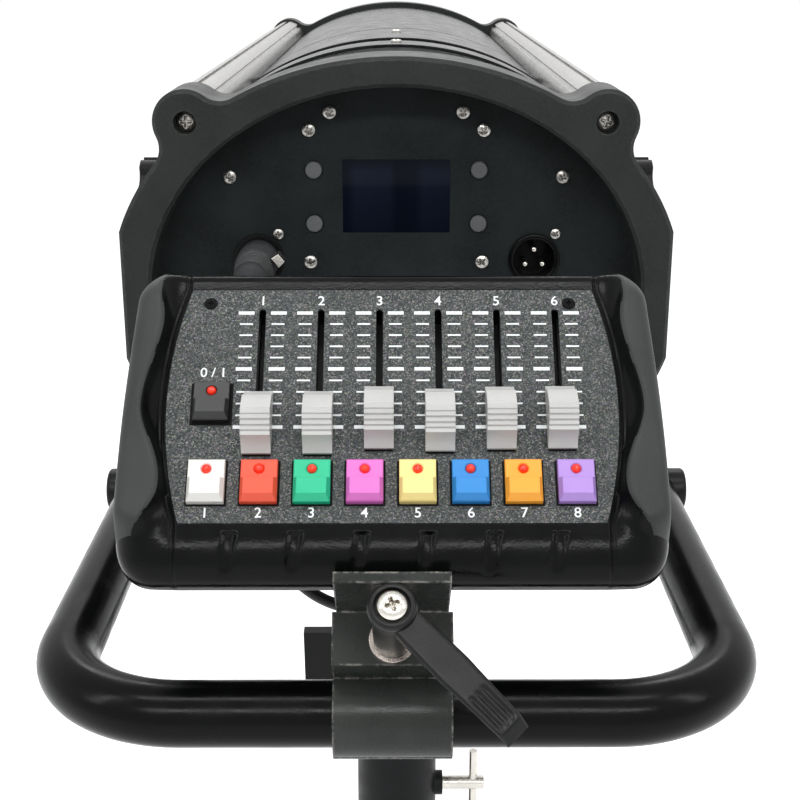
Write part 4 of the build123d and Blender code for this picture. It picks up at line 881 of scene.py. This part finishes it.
# painted shade: black bars in the gaps round each key
bm = bmesh.new()
for node, _ in KEYS:
    low, high = console_box(node)
    wide = 1.1 if node == "lamp_key" else 0.75
    x0, x1, v0, v1 = low[0] - 0.05, high[0] + 0.05, low[1] - 0.05, high[1] + 0.05
    over = v1 + 0.45
    for bar in ((x0 - wide, x0, v0 - wide, over), (x1, x1 + wide, v0 - wide, over),
                (x0, x1, v0 - wide, v0), (x0, x1, v1, over)):
        flat_bar(bm, *bar, -1.1, 0.05)
# painted shadow: a dark patch on the overlay under each fader cap
for i in range(1, 7):
    low, high = console_box(f"fader_cap_{i}")
    middle = (low[1] + high[1]) / 2
    flat_bar(bm, low[0] + 0.2, high[0] - 0.2, middle - 12.9, middle + 12.6, 0.0, 0.03)
solid("black_wells", bm, "console", BLACK_AND_PAINTED_SHADE, CONSOLE)


# ---- screws -----------------------------------------------------------------------------
HEAD_STEPS = 48             # round a screw head
HEAD_RINGS = [1.0, 0.985, 0.95] + [0.9 - 0.89 * k / 12 for k in range(13)]


def screw_head(bm, radius, height, flat=False, arm=0.60, wide=0.13):
    """Domed head with a cross recess, on local +Z from 0."""
    rows = [at_height(circle(radius, HEAD_STEPS), 0.0)]
    for s in HEAD_RINGS:
        crown = (1 - s**4) if flat else (1 - s * s)
        rim = 0.55 + 0.45 * crown if s < 1 else 0.45
        row = []
        for x, y in circle(s, HEAD_STEPS):
            near = min(abs(x), abs(y)) / wide
            reach = max(abs(x), abs(y)) / arm
            recess = 0.8 * (1 - smooth(near, 0.7, 1.15)) * (1 - smooth(reach, 0.75, 1.05))
            row.append((radius * x, radius * y, height * (rim - recess)))
        rows.append(row)
    bm.faces.new(grid(bm, rows, closed=True)[-1])


FACE_REAR = Matrix.Rotation(math.pi / 2, 4, "X")        # local +Z to world -Y
IN_MM = Matrix.Scale(MM, 4)
bm = bmesh.new()
for low, high in islands("machine_screws"):
    middle, size = (low + high) / 2, high - low
    part = bmesh.new()
    if size.z < 0.003 and size.x > 0.004 and middle.z > TILT_AXIS.z + 0.09:
        screw_head(part, size.x / 2 / MM, size.z / MM)
        put = Matrix.Translation((middle.x, middle.y, low.z)) @ IN_MM
    else:
        radius = max(size.x, size.z) / 2 / MM
        height = 2.0 * radius / 3.0
        turn = Matrix.Rotation(0.5 + 7 * middle.x + 3 * middle.z, 4, "Z")
        screw_head(part, radius, height)
        turned(part, [(0.45 * radius, 0.0), (0.45 * radius, -4.0)], 20)
        put = (Matrix.Translation((middle.x, low.y + height * MM, middle.z)) @ FACE_REAR
               @ turn @ IN_MM)
    absorb(bm, part, put)
heads = solid("phillips_screws", bm, "head", SCREW_METAL, sharp=0.8)
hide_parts("machine_screws")

bm = bmesh.new()
for x in (-69.0, 67.0):
    part = bmesh.new()
    screw_head(part, 2.0, 0.7)
    turned(part, [(2.05, 0.0), (2.5, 0.05), (2.6, 0.0)], 32, caps=False)
    absorb(bm, part, Matrix.Translation((x, 4.0, 0.02)))
solid("overlay_screws", bm, "console", BLACK_AND_PAINTED_SHADE, CONSOLE, sharp=0.8)

# ---- rear panel: window and right socket ----------------------------------------------------
low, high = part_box("display")
INSET, WINDOW_R = 0.0016, 0.001
bm = bmesh.new()
outline = []
for sx, sz, start in ((1, 1, 0), (-1, 1, 90), (-1, -1, 180), (1, -1, 270)):
    cx = (high if sx > 0 else low)[0] - sx * (INSET + WINDOW_R)
    cz = (high if sz > 0 else low)[2] - sz * (INSET + WINDOW_R)
    for k in range(6):
        t = math.radians(start + 18 * k)
        outline.append((cx + WINDOW_R * math.cos(t), cz + WINDOW_R * math.sin(t)))
prism(bm, outline, low[1] - 0.0002, low[1] + 0.0004, axis=1)
solid("display_window", bm, "head", LCD, sharp=0.5, bevel=0.0001)

RING = [(9.65, -0.6), (9.7, 0.1), (10.3, 0.55), (11.1, 0.6), (11.7, 0.25), (11.9, -0.6)]
PIN = [(1.25, -9.0), (1.25, -1.2), (1.0, -0.7), (0.5, -0.5), (0.02, -0.45)]
PIN_CIRCLE = 4.6 * MM
bm = bmesh.new()
for low, high in islands("rear_connectors"):
    if high.x - low.x > 0.02 and high.y - low.y > 0.018 and low.x > 0:
        SOCKET_AT = Vector(((low.x + high.x) / 2, low.y, (low.z + high.z) / 2))
        part = bmesh.new()
        turned(part, RING, 64, caps=False)
        absorb(bm, part, Matrix.Translation(SOCKET_AT) @ FACE_REAR @ IN_MM)
solid("socket_ring", bm, "head", TUBE_COAT, sharp=0.8)
bm = bmesh.new()
for turn in (90, 210, 330):
    t = math.radians(turn)
    part = bmesh.new()
    turned(part, PIN, 20)
    place = SOCKET_AT + PIN_CIRCLE * Vector((math.cos(t), 0, math.sin(t)))
    absorb(bm, part, Matrix.Translation(place) @ FACE_REAR @ IN_MM)
solid("socket_pins", bm, "head", BRIGHT_METAL, sharp=0.8)

# ---- plug with a ribbed boot, and the lead ----------------------------------------------------
low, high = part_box("lead_plug")
PLUG_AT = Vector(((low[0] + high[0]) / 2, REAR_Y, (low[2] + high[2]) / 2))
PLUG_R = (high[0] - low[0]) / 2 / MM
RIBS, RIB_PITCH = 8, 2.3
BOOT_END, BOOT_R = 25.9, 3.0
profile = [(PLUG_R - 0.6, -37.0), (PLUG_R, -36.0), (PLUG_R, -27.0), (PLUG_R - 0.5, -26.6),
           (PLUG_R - 0.5, -25.2), (PLUG_R, -24.8), (PLUG_R, -6.0), (PLUG_R - 0.9, -4.6)]
for k in range(RIBS):
    h, r = -3.6 + RIB_PITCH * k, PLUG_R - 0.6 - 0.2 * k
    profile += [(r - 0.8, h - 0.4), (r - 0.8, h + 0.3), (r, h + 0.7), (r, h + 1.5)]
r, h = profile[-1]
for k in range(1, 7):
    t = k / 6
    profile.append((r + (BOOT_R - r) * (1 - (1 - t) ** 2), h + (BOOT_END - h) * t))
profile.append((2.52, 25.95))
bm = bmesh.new()
turned(bm, profile, 56)
plug = solid("ribbed_plug", bm, "head", BOOT,
             Matrix.Translation(PLUG_AT) @ FACE_REAR @ IN_MM, sharp=0.7)
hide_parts("lead_plug")
bm = bmesh.new()
tapered(bm, (-2.6, 2.6, -12, -2, 7.2), (-2.2, 2.2, -11, -3, PLUG_R + 1.4))
tab = solid("plug_latch", bm, "head", BRIGHT_METAL,
            Matrix.Translation(PLUG_AT + Vector((0.004, 0.012, -0.001)))
            @ Matrix.Rotation(0.9, 4, "Y") @ IN_MM, sharp=0.5, bevel=0.5)

bm = bmesh.new()
made = grid(bm, tube_rows(LEAD_LINE, LEAD_D / 2 * MM), closed=True)
bm.faces.new(made[0])
bm.faces.new(made[-1])
cable = solid("lead_tube", bm, None, RUBBER, sharp=0.8)
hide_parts("lead")
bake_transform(cable)

# ---- clamping lever ------------------------------------------------------------------------------
low, high = console_box("clamp_lever")
HUB_LOW, HUB_TOP, HUB_SEAT = low[2], 17.0, 12.6
hub = in_console(joint("clamp_lever_turn")["pos_m"])
AT_HUB = CONSOLE @ Matrix.Translation((hub[0], hub[1], 0))
bm = bmesh.new()
turned(bm, [(4.06, HUB_LOW), (6.5, HUB_LOW), (6.9, HUB_LOW + 0.4), (7.2, 2.0), (8.2, 9.0),
            (8.5, 12.0), (8.5, 13.2), (7.8, 14.7), (7.4, 15.0), (6.4, 15.1), (6.15, 14.8),
            (6.1, HUB_SEAT), (0.02, HUB_SEAT)], 56, caps=False)
solid("lever_hub", bm, "clamp_lever", LEVER_ABS, AT_HUB, sharp=0.7)
bm = bmesh.new()
LONG, ROOT, MID, TIP = 59.5, 5.6, 6.3, 5.0              # length and half widths
LEVER_TURN, LEVER_DIP = math.radians(-44), math.radians(10)
stations = [4.0 + (LONG - 4.0) * k / 64 for k in range(65)]
rows = []
for s in stations:
    t = s / LONG
    half = ROOT + (MID - ROOT) * t * 2 if t < 0.5 else MID + (TIP - MID) * (t - 0.5) * 2
    thick = 8.6 - 3.0 * smooth(t, 0.05, 0.75)
    end = max(0.0, s - (LONG - 4.5))
    flute = smooth(s, 39.0, 40.6) * (1 - smooth(s, 52.0, 54.6))
    row = []
    for k in range(33):
        y = -half + 2 * half * k / 32
        edge = half - abs(y)
        z = -max(0.0, 1.3 - edge) ** 2 * 0.55
        z -= 0.95 * flute * sum(math.exp(-((y - c) / 0.85) ** 2) for c in (-2.7, 0.0, 2.7))
        z -= 0.62 * end
        row.append((s, y, z))
    for k in range(9):
        y = half - 2 * half * k / 8
        row.append((s, y * 0.86, -thick if k not in (0, 8) else -thick + 0.7))
    rows.append(row)
made = grid(bm, rows, closed=True)
bm.faces.new(made[0])
bm.faces.new(made[-1])
arm = solid("lever_arm", bm, "clamp_lever", LEVER_ABS,
            AT_HUB @ Matrix.Translation((0, 0, HUB_TOP - 3.6))
            @ Matrix.Rotation(LEVER_TURN, 4, "Z") @ Matrix.Rotation(LEVER_DIP, 4, "Y"), sharp=0.75)
bm = bmesh.new()
screw_head(bm, 5.3, 4.4, flat=True, arm=0.46, wide=0.10)
solid("lever_screw", bm, "clamp_lever", BRIGHT_METAL,
      AT_HUB @ Matrix.Translation((0, 0, HUB_SEAT)) @ Matrix.Rotation(0.35, 4, "Z"), sharp=0.7)
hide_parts("clamp_lever")

# ---- stage ---------------------------------------------------------------------
WHITE = (1, 1, 1, 1)
WHITE_TO_RAYS = ("Is Camera Ray", "Is Transmission Ray", "Is Glossy Ray")
bpy.ops.mesh.primitive_plane_add(size=14, location=(0, 1.5, CAD_BOX[0][2] - 0.001))
floor = bpy.context.object
floor.name = "floor"
g = Graph("floor_white")
g.set(Base_Color=(0.82, 0.82, 0.82, 1), Roughness=0.9)
rays = [g.add("ShaderNodeLightPath").outputs[kind] for kind in WHITE_TO_RAYS]
seen = g.math("MAXIMUM", rays[0], g.math("MAXIMUM", rays[1], rays[2]))
g.set(Emission_Color=WHITE, Emission_Strength=g.math("MULTIPLY", seen, 0.72))
floor.data.materials.append(g.material)

world = bpy.data.worlds.new("studio")
bpy.context.scene.world = world
world.use_nodes = True
tree = world.node_tree
path = tree.nodes.new("ShaderNodeLightPath").outputs
seen = path[WHITE_TO_RAYS[0]]
for kind in WHITE_TO_RAYS[1:]:
    either = tree.nodes.new("ShaderNodeMath")
    either.operation = "MAXIMUM"
    tree.links.new(seen, either.inputs[0])
    tree.links.new(path[kind], either.inputs[1])
    seen = either.outputs[0]
sky = tree.nodes["Background"]
white = tree.nodes.new("ShaderNodeBackground")
for background, colour, strength in ((sky, (0.92, 0.95, 1, 1), 0.40), (white, WHITE, 1.0)):
    background.inputs[0].default_value = colour
    background.inputs[1].default_value = strength
mix = tree.nodes.new("ShaderNodeMixShader")
tree.links.new(seen, mix.inputs[0])
tree.links.new(sky.outputs[0], mix.inputs[1])
tree.links.new(white.outputs[0], mix.inputs[2])
tree.links.new(mix.outputs[0], tree.nodes["World Output"].inputs[0])

AIM = HEAD @ Vector((0, -60, 0))
SOFTBOXES = {                           # place and target from AIM in metres, size, watts
    "top_box": ((0, -0.30, 1.30), (0, 0, 0), (1.5, 0.16), 9),
    "front_box": ((0, -1.75, 1.25), (0, 0, 0), (2.4, 0.20), 24),
    "left_box": ((-1.3, -0.5, 0.8), (0, 0, 0), (0.14, 1.0), 4),
    "right_box": ((1.3, -0.5, 0.8), (0, 0, 0), (0.14, 1.0), 4),
    "back_box": ((0, 1.6, 1.2), (0, 0.3, 0), (1.8, 0.4), 12),
}
for name, (place, target, size, power) in SOFTBOXES.items():
    light = bpy.data.lights.new(name, "AREA")
    light.shape = "RECTANGLE"
    light.size, light.size_y = size
    light.energy = power
    lamp = bpy.data.objects.new(name, light)
    bpy.context.collection.objects.link(lamp)
    lamp.location = AIM + Vector(place)
    lamp.rotation_euler = (Vector(target) - Vector(place)).to_track_quat("-Z", "Y").to_euler()

bpy.context.scene.view_settings.view_transform = "Standard"
